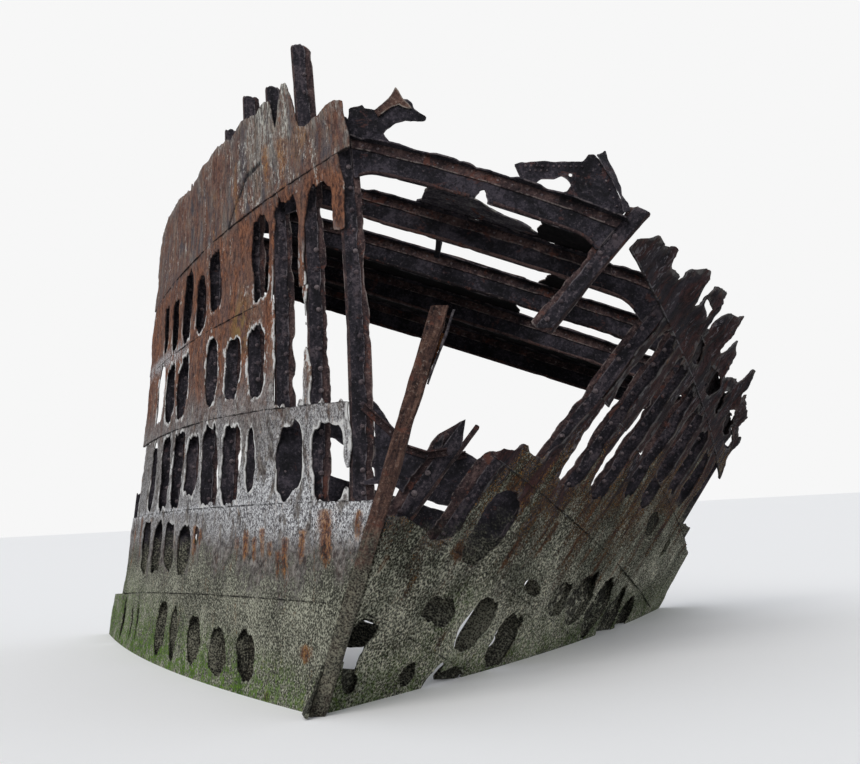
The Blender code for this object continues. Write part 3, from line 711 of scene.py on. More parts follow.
# Openings: bay, from, to across the bay; low, high across the strake; squareness; lean.
# A strake: name, side, seam above, first f, last f, openings.
SHELL = (
    ("stb_strake_1", -1, 0, 0.62, 11.7, ()),
    ("stb_strake_2", -1, 1, 0.86, 11.7,
     ((1, .06, 1.02, -.30, .87, 4.5, 0.0), (1, -.50, .90, -.30, .36, 5.0, 0.0),
      (2, .07, 1.04, -.30, .90, 4.5, 0.0), (3, .06, .80, .06, .90, 4.2, -.05),
      (5, .16, .88, .20, .87, 3.0, 0.0), (6, .02, .78, .04, .70, 3.2, 0.0),
      (7, -.04, .70, .06, .96, 3.0, 0.0), (8, -.04, .66, .05, .76, 3.0, 0.0),
      (9, 0.0, .74, .10, .78, 3.0, 0.0))),
    ("stb_strake_3", -1, 2, 0.85, 11.5,
     ((1, -.50, 1.02, -.02, 1.30, 6.0, 0.0), (2, 0.0, 1.03, -.02, 1.30, 6.0, 0.0),
      (3, .19, 1.02, .13, .82, 3.0, .05), (4, .27, 1.04, .15, .77, 3.4, .03),
      (5, .28, 1.0, .15, .88, 3.0, .05), (7, -.02, .92, .14, .90, 3.5, .03),
      (8, .02, .94, .18, .90, 3.5, .03), (9, .08, .94, .18, .94, 3.5, .03))),
    ("stb_strake_4", -1, 3, 0.95, 11.2,
     ((1, 0.0, .92, .02, .81, 3.8, 0.0), (2, .12, .95, .07, .82, 3.0, .03),
      (3, .64, 1.02, .13, .84, 2.4, .03), (4, .08, .97, .03, .88, 4.5, 0.0),
      (5, .03, 1.02, .02, .90, 4.5, 0.0), (6, 0.0, .96, .17, .90, 3.2, .03),
      (7, -.02, .90, .03, .95, 4.5, 0.0), (8, 0.0, .96, .04, .97, 4.5, 0.0),
      (9, .34, .96, .04, .97, 3.5, .03))),
    ("stb_strake_5", -1, 4, 0.0, 12.0,
     ((5, .85, 1.12, .56, .78, 2.2, .05), (6, .14, 1.0, .23, .80, 2.6, -.10),
      (7, .18, .98, .30, .86, 3.6, 0.0), (8, .15, .98, .25, .88, 3.6, 0.0),
      (9, .12, .96, .24, .89, 3.6, 0.0))),
    ("stb_strake_6", -1, 5, 0.0, 14.1,
     ((3, .24, .96, .22, .68, 2.6, -.25), (4, .18, .98, .21, .68, 2.4, -.20),
      (5, .31, 1.02, .25, .77, 2.0, .05), (6, .50, 1.02, .25, .86, 2.0, -.30),
      (7, .18, 1.0, .29, .90, 2.6, .05), (9, .40, .62, .40, .84, 1.8, .05),
      (10, .10, .36, .42, .86, 1.8, .05), (11, .20, .60, .36, .94, 2.0, .05))),
    ("port_strake_1", 1, 0, 1.10, 10.95,
     ((4, .44, 1.1, .05, .25, 2.0, 0.0), (5, .50, 1.5, .08, .27, 2.0, 0.0),
      (6, .90, 1.6, .11, .30, 2.0, 0.0), (8, 0.0, .90, .14, .34, 2.0, 0.0),
      (9, 0.0, .90, .16, .36, 2.0, 0.0), (4, -.3, .1, .30, .40, 2.0, 0.0))),
    ("port_strake_2", 1, 1, 2.95, 9.6,
     ((3, .14, .92, -.20, .97, 5.0, 0.0), (4, .10, .92, -.20, .97, 5.0, 0.0),
      (5, .10, .94, -.20, .94, 5.0, 0.0), (6, .10, .92, .04, .96, 4.5, 0.0),
      (7, .10, .92, .08, .94, 4.0, 0.0), (8, .10, .92, .10, .90, 3.5, 0.0))),
    ("port_strake_3", 1, 2, 1.45, 12.6,
     ((3, .06, .95, .20, 1.20, 3.6, 0.0), (4, .04, .95, .28, 1.2, 3.4, 0.0),
      (5, .26, .96, .58, 1.2, 3.0, 0.0), (6, .20, .92, .64, 1.2, 2.6, 0.0),
      (7, .28, 1.1, .50, .80, 2.0, 0.0), (9, .3, .8, .5, .8, 2.0, 0.0))),
    ("port_strake_4", 1, 3, 1.40, 13.2,
     ((4, .14, .88, .07, .24, 1.8, .3), (5, .26, 1.08, .05, .46, 2.2, .05),
      (6, -.08, 1.00, .05, .68, 2.0, .05), (7, -.04, 1.02, .06, .86, 2.0, .05),
      (8, -.02, 1.02, .12, .80, 2.2, .05), (8, .20, .80, .50, .94, 1.6, .05),
      (9, -.02, .84, .32, .90, 2.0, .05), (6, .2, .7, .4, .80, 1.5, .05))),
    ("port_strake_5", 1, 4, 0.0, 8.4,
     ((2, .14, .98, .22, .56, 2.2, -.25), (3, .20, 1.02, .14, .80, 2.6, -.22),
      (4, .28, 1.0, .15, .82, 2.6, .05))),
    ("port_strake_6", 1, 5, 0.0, 5.3,
     ((2, .58, .96, .56, .84, 1.8, .1), (3, .42, 1.30, .40, .97, 2.4, .10))),
)
# plating torn away, as outlines of (f, h)
OVAL_HOLE = ((2.40, 1.47), (2.27, 1.54), (2.19, 1.68), (2.16, 1.93), (2.19, 2.05), (2.34, 2.14),
             (2.58, 2.17), (2.80, 2.12), (2.93, 2.02), (2.99, 1.89), (2.94, 1.73), (2.83, 1.59),
             (2.68, 1.47))
BOW_HOLE = ((1.10, 0.66), (1.27, 0.78), (1.46, 0.79), (1.64, 0.75), (1.66, 0.66), (1.64, 0.58), (1.67, 0.46),
            (1.70, 0.40), (1.86, 0.33), (1.90, 0.25), (1.80, 0.21), (1.66, 0.22), (1.55, 0.28), (1.42, 0.37),
            (1.33, 0.50), (1.20, 0.56))
GROUND_NOTCH = ((3.21, 0.20), (3.21, 0.43), (3.20, 0.55), (3.27, 0.64), (3.38, 0.67), (3.49, 0.65),
                (3.43, 0.55), (3.46, 0.47), (3.54, 0.40), (3.56, 0.20))
FORE_TOP = ((-3.0, 3.5), (-3.0, 1.50), (0.50, 1.50), (0.72, 1.56), (0.95, 1.60), (1.21, 1.60), (1.32, 1.57),
            (1.55, 1.53), (1.78, 1.56), (1.93, 1.60), (1.94, 1.95), (1.90, 2.26), (1.88, 3.5))
REMNANT_TOP = ((1.0, 5.0), (1.0, 2.26), (1.56, 2.26), (1.69, 2.40), (1.93, 2.42), (1.95, 2.49), (2.29, 2.49),
               (2.62, 2.51), (2.80, 2.70), (2.92, 3.10), (2.95, 5.0))
TORN = {"port_strake_3": (REMNANT_TOP,), "port_strake_4": (FORE_TOP, REMNANT_TOP, OVAL_HOLE),
        "port_strake_5": (FORE_TOP, OVAL_HOLE, BOW_HOLE), "port_strake_6": (BOW_HOLE, GROUND_NOTCH)}
# rust runs: f, row at the top, length in m, width in m, strength
STB_RUNS = ((1.53, 4.08, .60, .080, 1.0), (0.80, 4.10, .34, .06, .6), (2.09, 4.28, .36, .05, .8),
            (2.55, 4.36, .42, .05, .9), (2.75, 4.5, .34, .04, .8), (3.05, 4.4, .20, .05, .7),
            (3.30, 4.25, .36, .05, .8), (3.55, 4.35, .30, .045, .8), (3.85, 4.28, .36, .05, .9),
            (4.15, 4.35, .32, .03, .6), (6.04, 4.2, .42, .06, .8), (5.8, 4.25, .22, .04, .7),
            (9.3, 4.05, .5, .03, .6), (1.88, 5.33, .13, .07, .9), (2.8, 5.72, .2, .05, .5),
            (10.2, 4.0, .7, .04, .8), (11.2, 4.0, .8, .05, .8), (3.1, 0.5, .5, .06, .55),
            (2.5, 0.55, .5, .08, .6), (1.9, 0.5, .4, .07, .5), (4.4, .4, .8, .05, .4),
            (5.6, .5, .7, .05, .4), (0.55, 4.7, .5, .04, .5))
PORT_RUNS = ((0.90, 3.4, .62, .04, 1.0), (0.3, 3.7, .5, .03, .6), (2.2, 3.9, .2, .08, .9),
             (3.35, 3.5, .5, .03, .9), (4.1, 3.1, .5, .035, .9), (5.0, 3.0, .5, .03, .8),
             (5.6, 3.1, .35, .03, .7), (6.3, 3.0, .5, .03, .8), (7.2, 2.9, .5, .03, .7),
             (3.0, 4.75, .25, .03, .6), (1.0, 4.4, .3, .03, .6), (2.4, 3.0, .3, .1, .7))

# a long crack in the starboard bulwark, in (f, r)
CRACK = ((4.74, 0.99), (4.53, 0.87), (4.26, 0.77), (3.88, 0.64), (3.28, 0.64))
# crust behind wasted port plating: name, first f, last f, row at the top, row at the foot, depth, shade
LININGS = (("port_lining", 5.2, 9.95, 3.08, 3.99, 0.085, 0.05),
           ("port_lining_low", 3.80, 5.3, 5.0, 5.99, 0.07, 0.6),
           ("bow_lining", 1.20, 2.30, 5.53, 5.99, 0.05, 0.6),
           ("port_lining_top", 4.2, 9.9, 0.56, 0.97, 0.05, 0.75))


def top_edge(above, a):
    """Height of a strake's upper edge; above the first seam the grid has a fixed height."""
    return seam(above, a) if above else seam(1, a) + BULWARK


def shell_ground(side, a):
    """Height at which the shell comes out of the ground."""
    return ground_h(a, lambda h: side * half_breadth(a, h))


def stem_column(h):
    """Station where the inside of the plating meets the stem bar's side."""
    target = STEM_W / 2 + SEAT + THICK
    near, far = stem_a(h), stem_a(h) + 1.0
    for _ in range(30):
        mid = 0.5 * (near + far)
        thin = half_breadth(mid, h) < target
        near, far = np.where(thin, mid, near), np.where(thin, far, mid)
    return near


def opening(a, v, height, hole, seed):
    """Signed distance to the edge of one opening, positive outside it."""
    bay, u0, u1, v0, v1, power, lean = hole
    start, width = frame_a(bay) + FLANGE, PITCH - FLANGE - WEB
    x = (a - start) / width - 0.5 * (u0 + u1)
    y = v - 0.5 * (v0 + v1)
    x = x + lean * y
    rx, ry = 0.5 * (u1 - u0), 0.5 * (v1 - v0)
    x = x + 0.10 * rx * noise(v * 4.0, bay * 7.0, 0.0, seed)
    ripple = 0.10 * noise(x * 5.0, bay * 3.0, 0.0, seed) + 0.07 * noise(a * 26.0, bay * 3.0, 0.0, seed + 1)
    y = y + ry * ripple
    reach = (np.abs(x / rx) ** power + np.abs(y / ry) ** power) ** (1.0 / power)
    slope = np.sqrt((x / rx) ** 2 + (y / ry) ** 2 + 1e-6)
    metre = np.sqrt((x / rx / (rx * width)) ** 2 + (y / ry / (ry * height)) ** 2 + 1e-6)
    return (reach - 1.0) * slope / metre


def wasting(name, above, a, h, keep, holes, seed):
    """Cuts the openings and torn places out of a strake."""
    high = top_edge(above, a)
    low = seam(above + 1, a) if above + 1 < GROUND else high - LAST_DEPTH
    v = (h - low) / (high - low)
    chip = 0.013 * rough(a, h, seed, 0.09) + 0.018 * rough(a * 2.2, h * 0.7, seed + 2, 0.20, 2)
    cuts = [opening(a, v, high - low, hole, seed + n) for n, hole in enumerate(holes)]
    for outline in TORN.get(name, ()):
        cuts.append(-outline_keep(a, h, [(frame_a(f), x) for f, x in outline]))
    for away in cuts:
        keep = np.minimum(keep, away + np.where(away < 0.2, chip, 0.0))
    return keep


def shell_relief(name, side, above, a, h, seed):
    """How far dents, scale and pits move the plating's outer face."""
    dent = 0.012 * rough(a, h, seed + 5, 0.55, 2)
    scale = (0.006 if side < 0 else 0.010) * rough(a * 1.7, h * 0.5, seed + 7, 0.16) * (above < 3)
    if name == "port_strake_1":             # swollen and crumbling
        scale = 0.042 * rough(a * 1.2, h, seed + 8, 0.22, 4) - 0.016
    if name == "stb_strake_1":
        scale = scale - 0.014 * smooth(crack_distance(frame_f(a), row(a, h)), 0.03, 0.0)
    pit = (0.0035 if above < 3 else 0.005) * rough(a, h, seed + 9, 0.055, 2)
    return dent + scale + pit - 0.006


def strake_grid(side, above, a_start, a_end, stem_end):
    """Stations and heights of a strake's grid, and its lower and upper edge."""
    share = np.linspace(0.0, 1.0, int(round((a_end - a_start) / CELL)) + 1)[:, None]
    v = np.linspace(0.0, 1.0, int(round((1.0 if above else BULWARK) / CELL)) + 1)[None, :]
    a = a_start + (a_end - a_start) * share + 0.0 * v
    for _ in range(4):                      # stem end and slanted seams settle together
        low, high = shell_ground(side, a), top_edge(above, a)
        if above + 1 < GROUND:
            low = np.maximum(seam(above + 1, a), low)
        h = low + (high - low) * v
        if stem_end:
            front = stem_column(h) - BAR_LAP
            a = front + (a_end - front) * share
    return a, h, low, high


def strake_ends(side, above, a, h, a_start, a_end, stem_end, seed):
    """Distance from the ragged ends and, on the top strake, from the torn top."""
    keep = a_end - a + 0.05 * rough(h, 0.0, seed, 0.35) - 0.07
    if not stem_end:
        keep = np.minimum(keep, a - a_start + 0.03 * rough(h, 0.0, seed + 1, 0.25) - 0.03)
    if above == 0:
        top = profile(STB_TOP if side < 0 else PORT_TOP, frame_f(a))
        top = top + (0.016 if side < 0 else 0.035) * rough(a, 0.0, seed, 0.16, 4)
        keep = np.minimum(keep, (top - h) * 0.8)
    return keep


def strake(name, side, above, first, last, holes):
    """One strake of shell plating with its wasted edges and openings."""
    body = Body()
    seed = seed_of(name)
    stem_end = first < 0.5
    a_end, a_start = frame_a(last), 0.0 if stem_end else frame_a(first)
    a, h, low, high = strake_grid(side, above, a_start, a_end, stem_end)
    keep = strake_ends(side, above, a, h, a_start, a_end, stem_end, seed)
    keep = wasting(name, above, a, h, keep, holes, seed)
    calm = smooth(h - low, 0.0, 0.3) * (smooth(a - a[:1], 0.0, 0.25) if stem_end else 1.0)
    thin = 0.5 + 0.5 * smooth(keep, 0.0, 0.035)
    proud = LAP if above % 2 == 0 else 0.0
    b_out = half_breadth(a, h) + proud + shell_relief(name, side, above, a, h, seed) * calm
    b_in = b_out - THICK * thin * (0.85 + 0.15 * noise(a * 9, h * 9, 0, seed))
    outer, inner = to_part(a, side * b_out, h), to_part(a, side * b_in, h)
    room = HIGH[1] - outer[..., 1]
    keep = np.minimum(keep, room - 0.012 - 0.05 * np.clip(rough(h, 0.0, seed + 4, 0.30), 0.0, 1.0))
    keep = np.minimum(keep, high - low - 0.004)     # nothing where the strake has run under the sand
    sheet(body, outer, inner, keep, inner=True, **shell_marks(side, above, a, h, low, high, keep))
    body.piece(name + "_plating", [STB_PLATING if side < 0 else PORT_PLATING], [name],
               "upper_plating" if above < 3 else "lower_plating")


def crack_distance(f, r):
    """Metres from the long crack."""
    best = np.full(np.shape(f), 9.0)
    for (f0, r0), (f1, r1) in zip(CRACK, CRACK[1:]):
        df, dr = f1 - f0, r1 - r0
        t = np.clip(((f - f0) * df + (r - r0) * dr) / (df ** 2 + dr ** 2), 0.0, 1.0)
        best = np.minimum(best, np.hypot((f - f0 - t * df) * PITCH, r - r0 - t * dr))
    return np.abs(best + 0.012 * noise(f * 8.0, r * 14.0))


def runs_at(table, a, r):
    """Strength of the rust runs."""
    total = np.zeros(np.shape(a))
    for f, top, length, width, strength in table:
        depth = (r - top) * 0.87
        across = hill(a, frame_a(f), width * (1.2 - 0.5 * np.clip(depth / length, 0, 1)))
        down = smooth(depth, -0.03, 0.03) * smooth(depth, length, length * 0.45)
        total = np.maximum(total, strength * across * down)
    return total


def stb_marks(above, f, r, z, keep):
    """Starboard: pale teeth of the bulwark, lime band, warm and ashen rust, weed, crack, ochre."""
    teeth = hill(f, 2.38, 0.12) + hill(f, 3.1, 0.25) + 0.6 * hill(f, 3.7, 0.12) + 0.5 * hill(f, 1.9, 0.1)
    pale = teeth * smooth(r, 0.95, 0.2) * (r < 1) + 0.35 * smooth(keep, 0.10, 0.0) * (above == 0)
    rusty = hill(f, 3.9, 0.7) * hill(r, 3.15, 0.35)
    upper = 0.55 + 0.45 * smooth(r, 3.3, 3.9)
    band = smooth(r, 2.5, 3.1) * smooth(r, 4.55, 4.2) * (0.45 + 0.55 * smooth(f, 7.5, 2.5))
    bleach = band * upper * (1.0 - 0.8 * rusty)
    bleach = bleach + 0.7 * smooth(np.abs(r - 2.0), 0.16, 0.04) * smooth(f, 6.9, 7.6)
    bleach = bleach + 0.6 * smooth(np.abs(r - 4.0), 0.07, 0.01) * (f > 3.2)
    bulwark = 1.2 * hill(f, 3.3, 1.1) - 0.3 * smooth(f, 4.6, 6.0) - 0.4 * smooth(f, 2.0, 1.4)
    return {"pale": pale, "bleach": bleach,
            "warm": smooth(r, 0.98, 1.12) * smooth(r, 2.9, 2.4) + 0.9 * rusty,
            "weed": smooth(z, 0.30 + 0.07 * f, 0.03) * smooth(f, -0.5, 4.0),
            "crack": smooth(crack_distance(f, r), 0.042, 0.014),
            "lower": smooth(r, 2.55, 3.25),
            "ash": (r < 1.0) * bulwark - 0.5 * (r >= 1.0) * smooth(r, 2.4, 2.2),
            "ochre": hill(f, 4.3, 0.35) * hill(r, 2.1, 0.25),
            "rim": smooth(r, 1.5, 2.0) * smooth(r, 4.4, 3.9)}


def port_marks(above, f, r, z, keep):
    """Port: little lime, weed low down and beside the oval hole."""
    return {"pale": 0.4 * smooth(keep, 0.08, 0.0) * (above < 2),
            "bleach": 0.25 * smooth(np.abs(r - 3.9), 0.5, 0.1),
            "weed": smooth(z, 0.55, 0.05) * 0.45 + 0.5 * hill(f, 2.9, 0.4) * hill(z, 0.62, 0.2),
            "rim": 0.12}


def shell_marks(side, above, a, h, low, high, keep):
    """Marks that place the finish: stains, lichen, lime, weed and seams."""
    b = side * half_breadth(a, h)
    f, r, z = frame_f(a), row(a, h), to_part(a, b, h)[..., 2]
    marks = (stb_marks if side < 0 else port_marks)(above, f, r, z, keep)
    marks["pale"] = np.clip(marks["pale"], 0.0, 1.0)
    marks["stain"] = runs_at(STB_RUNS if side < 0 else PORT_RUNS, a, r)
    marks["seam_d"] = np.minimum(np.abs(h - high) if above else 9.0, h - low if above < 5 else 9.0)
    return {**marks, **ship_marks(a, b, h)}


def lining(name, f0, f1, top, bottom, depth, shade):
    """Crust left between the frames behind wasted port plating, from row top down to row bottom."""
    body = Body()
    a, v = np.broadcast_arrays(np.arange(frame_a(f0), frame_a(f1), 0.03)[:, None], np.linspace(0.0, 1.0, 34))
    k = int(top)
    low = seam(k + 1, a) if k < 5 else shell_ground(1, a) - 0.02
    height = seam(k, a) - low if k else 1.0
    h = low + height * ((k + 1.0 - bottom) + (bottom - top) * v)
    ridge = np.abs(np.sin(math.pi * frame_f(a)))
    crumble = 0.022 * rough(a * 1.5, h * 0.7, 311, 0.16, 4)
    b = half_breadth(a, h) - THICK - depth * (0.45 + 0.55 * ridge) - crumble
    keep = np.minimum(np.minimum(v, 1.0 - v) * height, np.minimum(a - a[:1], a[-1:] - a)) + 0.001
    keep = np.minimum(keep, to_part(a, b, h)[..., 2] - 0.001)
    if k == 0:                              # stays below the ragged top
        keep = np.minimum(keep, profile(PORT_TOP, frame_f(a)) - h - 0.05)
    sheet(body, to_part(a, b, h), to_part(a, b - 0.02, h), keep, **ship_marks(a, b, h))
    body.marks["edge"][:] = 0.3
    # painted shade: the lining is darkened by this share toward the plating's dark inner face, as in a recess
    body.marks["inner"] = np.full(body.count, shade)
    body.piece(name, [PORT_PLATING], (), "lower_plating")


for table_row in SHELL:
    strake(*table_row)
for table_row in LININGS:
    lining(*table_row)

# ---------------------------------------------------------------- frames

# number, foot (None = the ground), head
STB_FRAMES = ((1, 1.56, 4.57, ""), (2, 0.85, 5.35, ""), (3, None, 5.16, ""), (4, None, 5.26, ""),
              (5, None, 5.10, ""), (6, None, 4.86, ""), (7, None, 4.74, ""), (8, None, 4.80, ""),
              (9, None, 4.82, ""), (10, None, 2.10, "_low"), (10, 3.16, 4.76, "_high"),
              (11, None, 1.60, "_low"), (11, 3.20, 4.66, "_high"), (12, None, 1.60, ""))
PORT_FRAMES = ((1, 1.52, 2.46, "_stump"), (1, 3.30, 4.55, "_high"), (2, 0.85, 2.42, "_stump"),
               (3, None, 4.32, ""), (4, None, 4.22, ""), (5, None, 4.20, ""), (6, None, 4.20, ""),
               (7, None, 4.20, ""), (8, None, 4.20, ""), (9, None, 4.20, ""), (10, None, 4.20, ""),
               (11, None, 3.22, ""), (12, None, 2.84, ""))
RIVET_PITCH = 0.165


class Frame:
    """Frame bar against the shell, reverse bar along its inner edge, riveted where they lap."""

    def __init__(self, side, i, foot, head, suffix):
        self.side, self.foot, self.head = side, foot, head
        self.stump, self.pointed = suffix == "_stump", suffix == "_stump" and i == 1
        self.name = "%s_frame_%02d%s" % ("stb" if side < 0 else "port", i, suffix)
        self.seed = 100 * i + (side < 0) * 7 + len(suffix)
        self.a = frame_a(i)
        self.low = foot
        if foot is None:
            self.low = float(ground_h(np.array(self.a), lambda h: self.b(h, 0.5 * WEB_DEPTH))) - 0.10
        self.h = np.linspace(self.low, head, int((head - self.low) / CELL) + 2)
        self.body = Body()

    def b(self, h, depth, a=None):
        """Breadth at a depth in from the shell."""
        return self.side * (half_breadth(self.a if a is None else a, h) - INSET - depth)

    def ragged(self, h, seed, size, octaves=3):
        return rough(h, 0.0, self.seed + seed, size, octaves)

    def web(self, s0, s1, fore, aft, coat, wear):
        """Upright plate across the ship between two depths; coat 0 is the frame bar, 1 the reverse bar."""
        cols = max(3, int(round((s1 - s0) / CELL)) + 1)
        s, h = np.broadcast_arrays(np.linspace(s0, s1, cols)[:, None], self.h)
        keep = s1 - 0.004 - wear * np.clip(self.ragged(h, coat, 0.17, 4) + 0.15, 0.0, 1.3) - s
        if coat:
            keep = np.minimum(keep, s - (s0 + 0.004 + wear * 0.4 * np.clip(self.ragged(h, 3, 0.2), 0, 1)))
        taper, middle = (1.9, 0.11) if self.pointed else (0.5, 0.07 + 0.03 * coat)
        point = 0.05 + 0.04 * noise(s * 22, 0.0, 0, self.seed)
        tip = taper * np.abs(s - middle) + 0.01 * noise(s * 40, 3, 0, self.seed) + point * 0.2
        keep = np.minimum(keep, self.head - h - tip)
        if self.foot is not None:
            keep = np.minimum(keep, h - self.low - 0.4 * np.abs(s - 0.10) - 0.01)
        b = self.b(h, s)
        wave = 0.003 * rough(s, h, self.seed + 20, 0.1, 2)
        front = to_part(fore + wave, b, h)
        keep = np.minimum(keep, front[..., 2] - 0.001)
        sheet(self.body, front, to_part(aft + wave * 0.5, b, h), keep, coat, **ship_marks(self.a + s, b, h))

    def flange(self):
        """Leg of the frame bar that lies against the shell."""
        s, h = np.broadcast_arrays(np.linspace(0.0, FLANGE, 4)[:, None], self.h)
        keep = FLANGE - 0.004 - 0.010 * np.clip(self.ragged(h, 8, 0.2), 0, 1) - s
        keep = np.minimum(keep, self.head - h - 0.03)
        if self.foot is not None:
            keep = np.minimum(keep, h - self.low - 0.01)
        a = self.a + s
        out, back = to_part(a, self.b(h, 0.0, a), h), to_part(a, self.b(h, FLANGE_T, a), h)
        keep = np.minimum(keep, np.minimum(out[..., 2], back[..., 2]) - 0.001)
        sheet(self.body, out, back, keep, 1, **ship_marks(a, self.side * half_breadth(a, h), h))

    def rivets(self):
        """Rivets on both faces of the lap."""
        count = max(1, int((self.head - self.low - 0.15) / RIVET_PITCH))
        h = self.low + 0.10 + RIVET_PITCH * np.arange(count) + 0.008 * rng.standard_normal(count)
        b = self.b(h, 0.088 + 0.004 * rng.standard_normal(count))
        good = (to_part(self.a, b, h)[:, 2] > 0.06) & (rng.random(count) > 0.06)
        for where, up in ((self.a - WEB, AHEAD), (self.a, -AHEAD)):
            rivets(self.body, where, b[good], h[good], up, 0.024, 0.020, mark_a=self.a)

    def piece(self):
        fore = self.a - WEB
        self.web(0.0, 0.125, fore, fore + 0.010, 0, 0.016)
        self.web(0.055, WEB_DEPTH + (0.05 if self.stump else 0.0), fore + 0.0105, self.a, 1, 0.024)
        self.flange()
        self.rivets()
        self.body.piece(self.name + "_bar", [WEB_IRON, BAR_IRON, RIVET_IRON], [self.name], "frame_rust")


for table_row in STB_FRAMES:
    Frame(-1, *table_row).piece()
for table_row in PORT_FRAMES:
    Frame(1, *table_row).piece()

# ---------------------------------------------------------------- beams and deck

BEAM_FRAMES = (1, 3, 5, 7, 9)
BEAM_CELL = 0.028
LEG = 0.10                              # depth of the angle bar under the deck
FRAME_LAP = 0.080                       # a beam's end goes this far behind the frame's inner edge
BREAKS = {1: ((-0.03, 0.050, 0.115),)}  # wasted lengths of a beam: from b, to b, height of the gap


def beam_line(b, end):
    return BEAM_TOP + CAMBER * (1.0 - (b / end) ** 2)


class Beam:
    """Deck beam: web, angle bar along its top, bulb along its foot, bracket at each end."""

    def __init__(self, number, frame_number):
        self.number, self.seed = number, 900 + number
        self.body, self.breaks = Body(), BREAKS.get(number, ())
        self.aft = frame_a(frame_number) - WEB - SEAT
        self.a = self.aft - WEB
        self.end = float(half_breadth(self.a - BEAM_FLANGE, BEAM_TOP - KNEE_DEPTH - BEAM_DEPTH)) - 0.05
        self.size = min(1.0, self.end / 1.7)
        self.reach = KNEE_REACH * self.size
        self.full = float(half_breadth(self.a, BEAM_TOP)) - THICK - 0.01
        self.b = np.linspace(-self.full, self.full, int(2 * self.full / BEAM_CELL) + 1)[:, None]

    def top(self, b):
        return beam_line(b, self.end)

    def leg(self, b):
        return self.top(b) - LEG

    def foot(self, b):
        near = np.clip(1.0 - (self.full - WEB_DEPTH - np.abs(b)) / (self.reach + 0.06), 0.0, 1.3)
        return self.top(b) - BEAM_DEPTH - KNEE_DEPTH * self.size * near ** 2.2

    def strip(self, bottom_of, below, fore, aft, coat, wear):
        """Plate across the ship from a line up to just below the deck."""
        levels = max(3, int(np.max(self.top(self.b) - below - bottom_of(self.b)) / BEAM_CELL) + 1)
        b, s = np.broadcast_arrays(self.b, np.linspace(0.0, 1.0, levels))
        bottom = bottom_of(b)
        h = bottom + (self.top(b) - below - bottom) * s
        keep = h - bottom - 0.003 - wear * np.clip(rough(b, 0.0, self.seed + coat, 0.24, 4), 0.0, 1.2)
        keep = np.minimum(keep, half_breadth(self.a, h) - THICK - WEB_DEPTH + FRAME_LAP - np.abs(b))
        for b0, b1, gap in self.breaks:
            rise = h - self.foot(b)
            notch = np.maximum(np.maximum(b0 - b, b - b1) + 0.3 * rise - 0.02, rise - gap)
            keep = np.minimum(keep, notch + 0.014 * rough(b, h, self.seed, 0.06))
        wave = 0.002 * rough(b, h, self.seed + 4, 0.12, 2)
        sheet(self.body, to_part(fore + wave, b, h), to_part(aft + wave * 0.5, b, h), keep, coat,
              **ship_marks(self.a, b, h))

    def bulb(self):
        """Round foot, broken where the web is."""
        turn = np.arange(8) * math.pi / 4
        start = self.full - WEB_DEPTH - self.reach * 0.45
        run = []
        for b in [*np.arange(-start, start, 0.05), None]:
            if b is None or any(b0 - 0.02 < b < b1 + 0.02 for b0, b1, _ in self.breaks):
                if len(run) > 2:
                    loft(self.body, run, 1, edge=0.3, ship_a=self.a, ship_h=4.2)
                run = []
                continue
            centre = float(self.foot(b)) + 0.020 + 0.004 * float(noise(b * 9.0, 1.0, 0, self.seed))
            swell = 0.015 + 0.004 * float(noise(b * 14.0, 5.0, 0, self.seed))
            run.append(to_part(self.a - 0.001 + swell * 0.9 * np.sin(turn), b, centre + swell * np.cos(turn)))

    def flange(self):
        """Deck flange with a torn edge."""
        b, s = np.broadcast_arrays(self.b, np.linspace(0.0, BEAM_FLANGE, 6))
        share = 0.5 if self.number < 3 else 0.2
        torn = share * np.clip(rough(b, 0.0, self.seed + 30, 0.18, 4), 0.0, 1.3) * BEAM_FLANGE
        side = half_breadth(self.a - s, BEAM_TOP) - THICK - 0.05 - np.abs(b)
        keep = np.minimum(BEAM_FLANGE - 0.003 - torn - s, side)
        h = self.top(b) - 0.004 + 0.004 * rough(b, s, self.seed + 31, 0.08)
        a = self.a + 0.004 - s
        sheet(self.body, to_part(a, b, h), to_part(a, b, h - 0.013), keep, **ship_marks(self.a, b, h))

    def rivets(self):
        b = np.arange(-self.full + 0.22, self.full - 0.22, 0.125)
        b = b[rng.random(len(b)) > 0.12]
        h = self.top(b) - LEG * 0.55
        for where, up in ((self.a - 0.010, AHEAD), (self.aft, -AHEAD)):
            rivets(self.body, where, b, h, up, 0.013, 0.009)

    def piece(self):
        self.strip(self.foot, 0.004, self.a + 0.004, self.aft, 0, 0.018)
        self.strip(self.leg, 0.006, self.a - 0.010, self.a + 0.004, 1, 0.010)
        self.bulb()
        self.flange()
        self.rivets()
        self.body.piece("beam_%d_bar" % self.number, [BEAM_IRON, BAR_IRON, RIVET_IRON],
                        ["beam_%d" % self.number], "beam_rust")


for count, frame_number in enumerate(BEAM_FRAMES):
    Beam(count + 1, frame_number).piece()

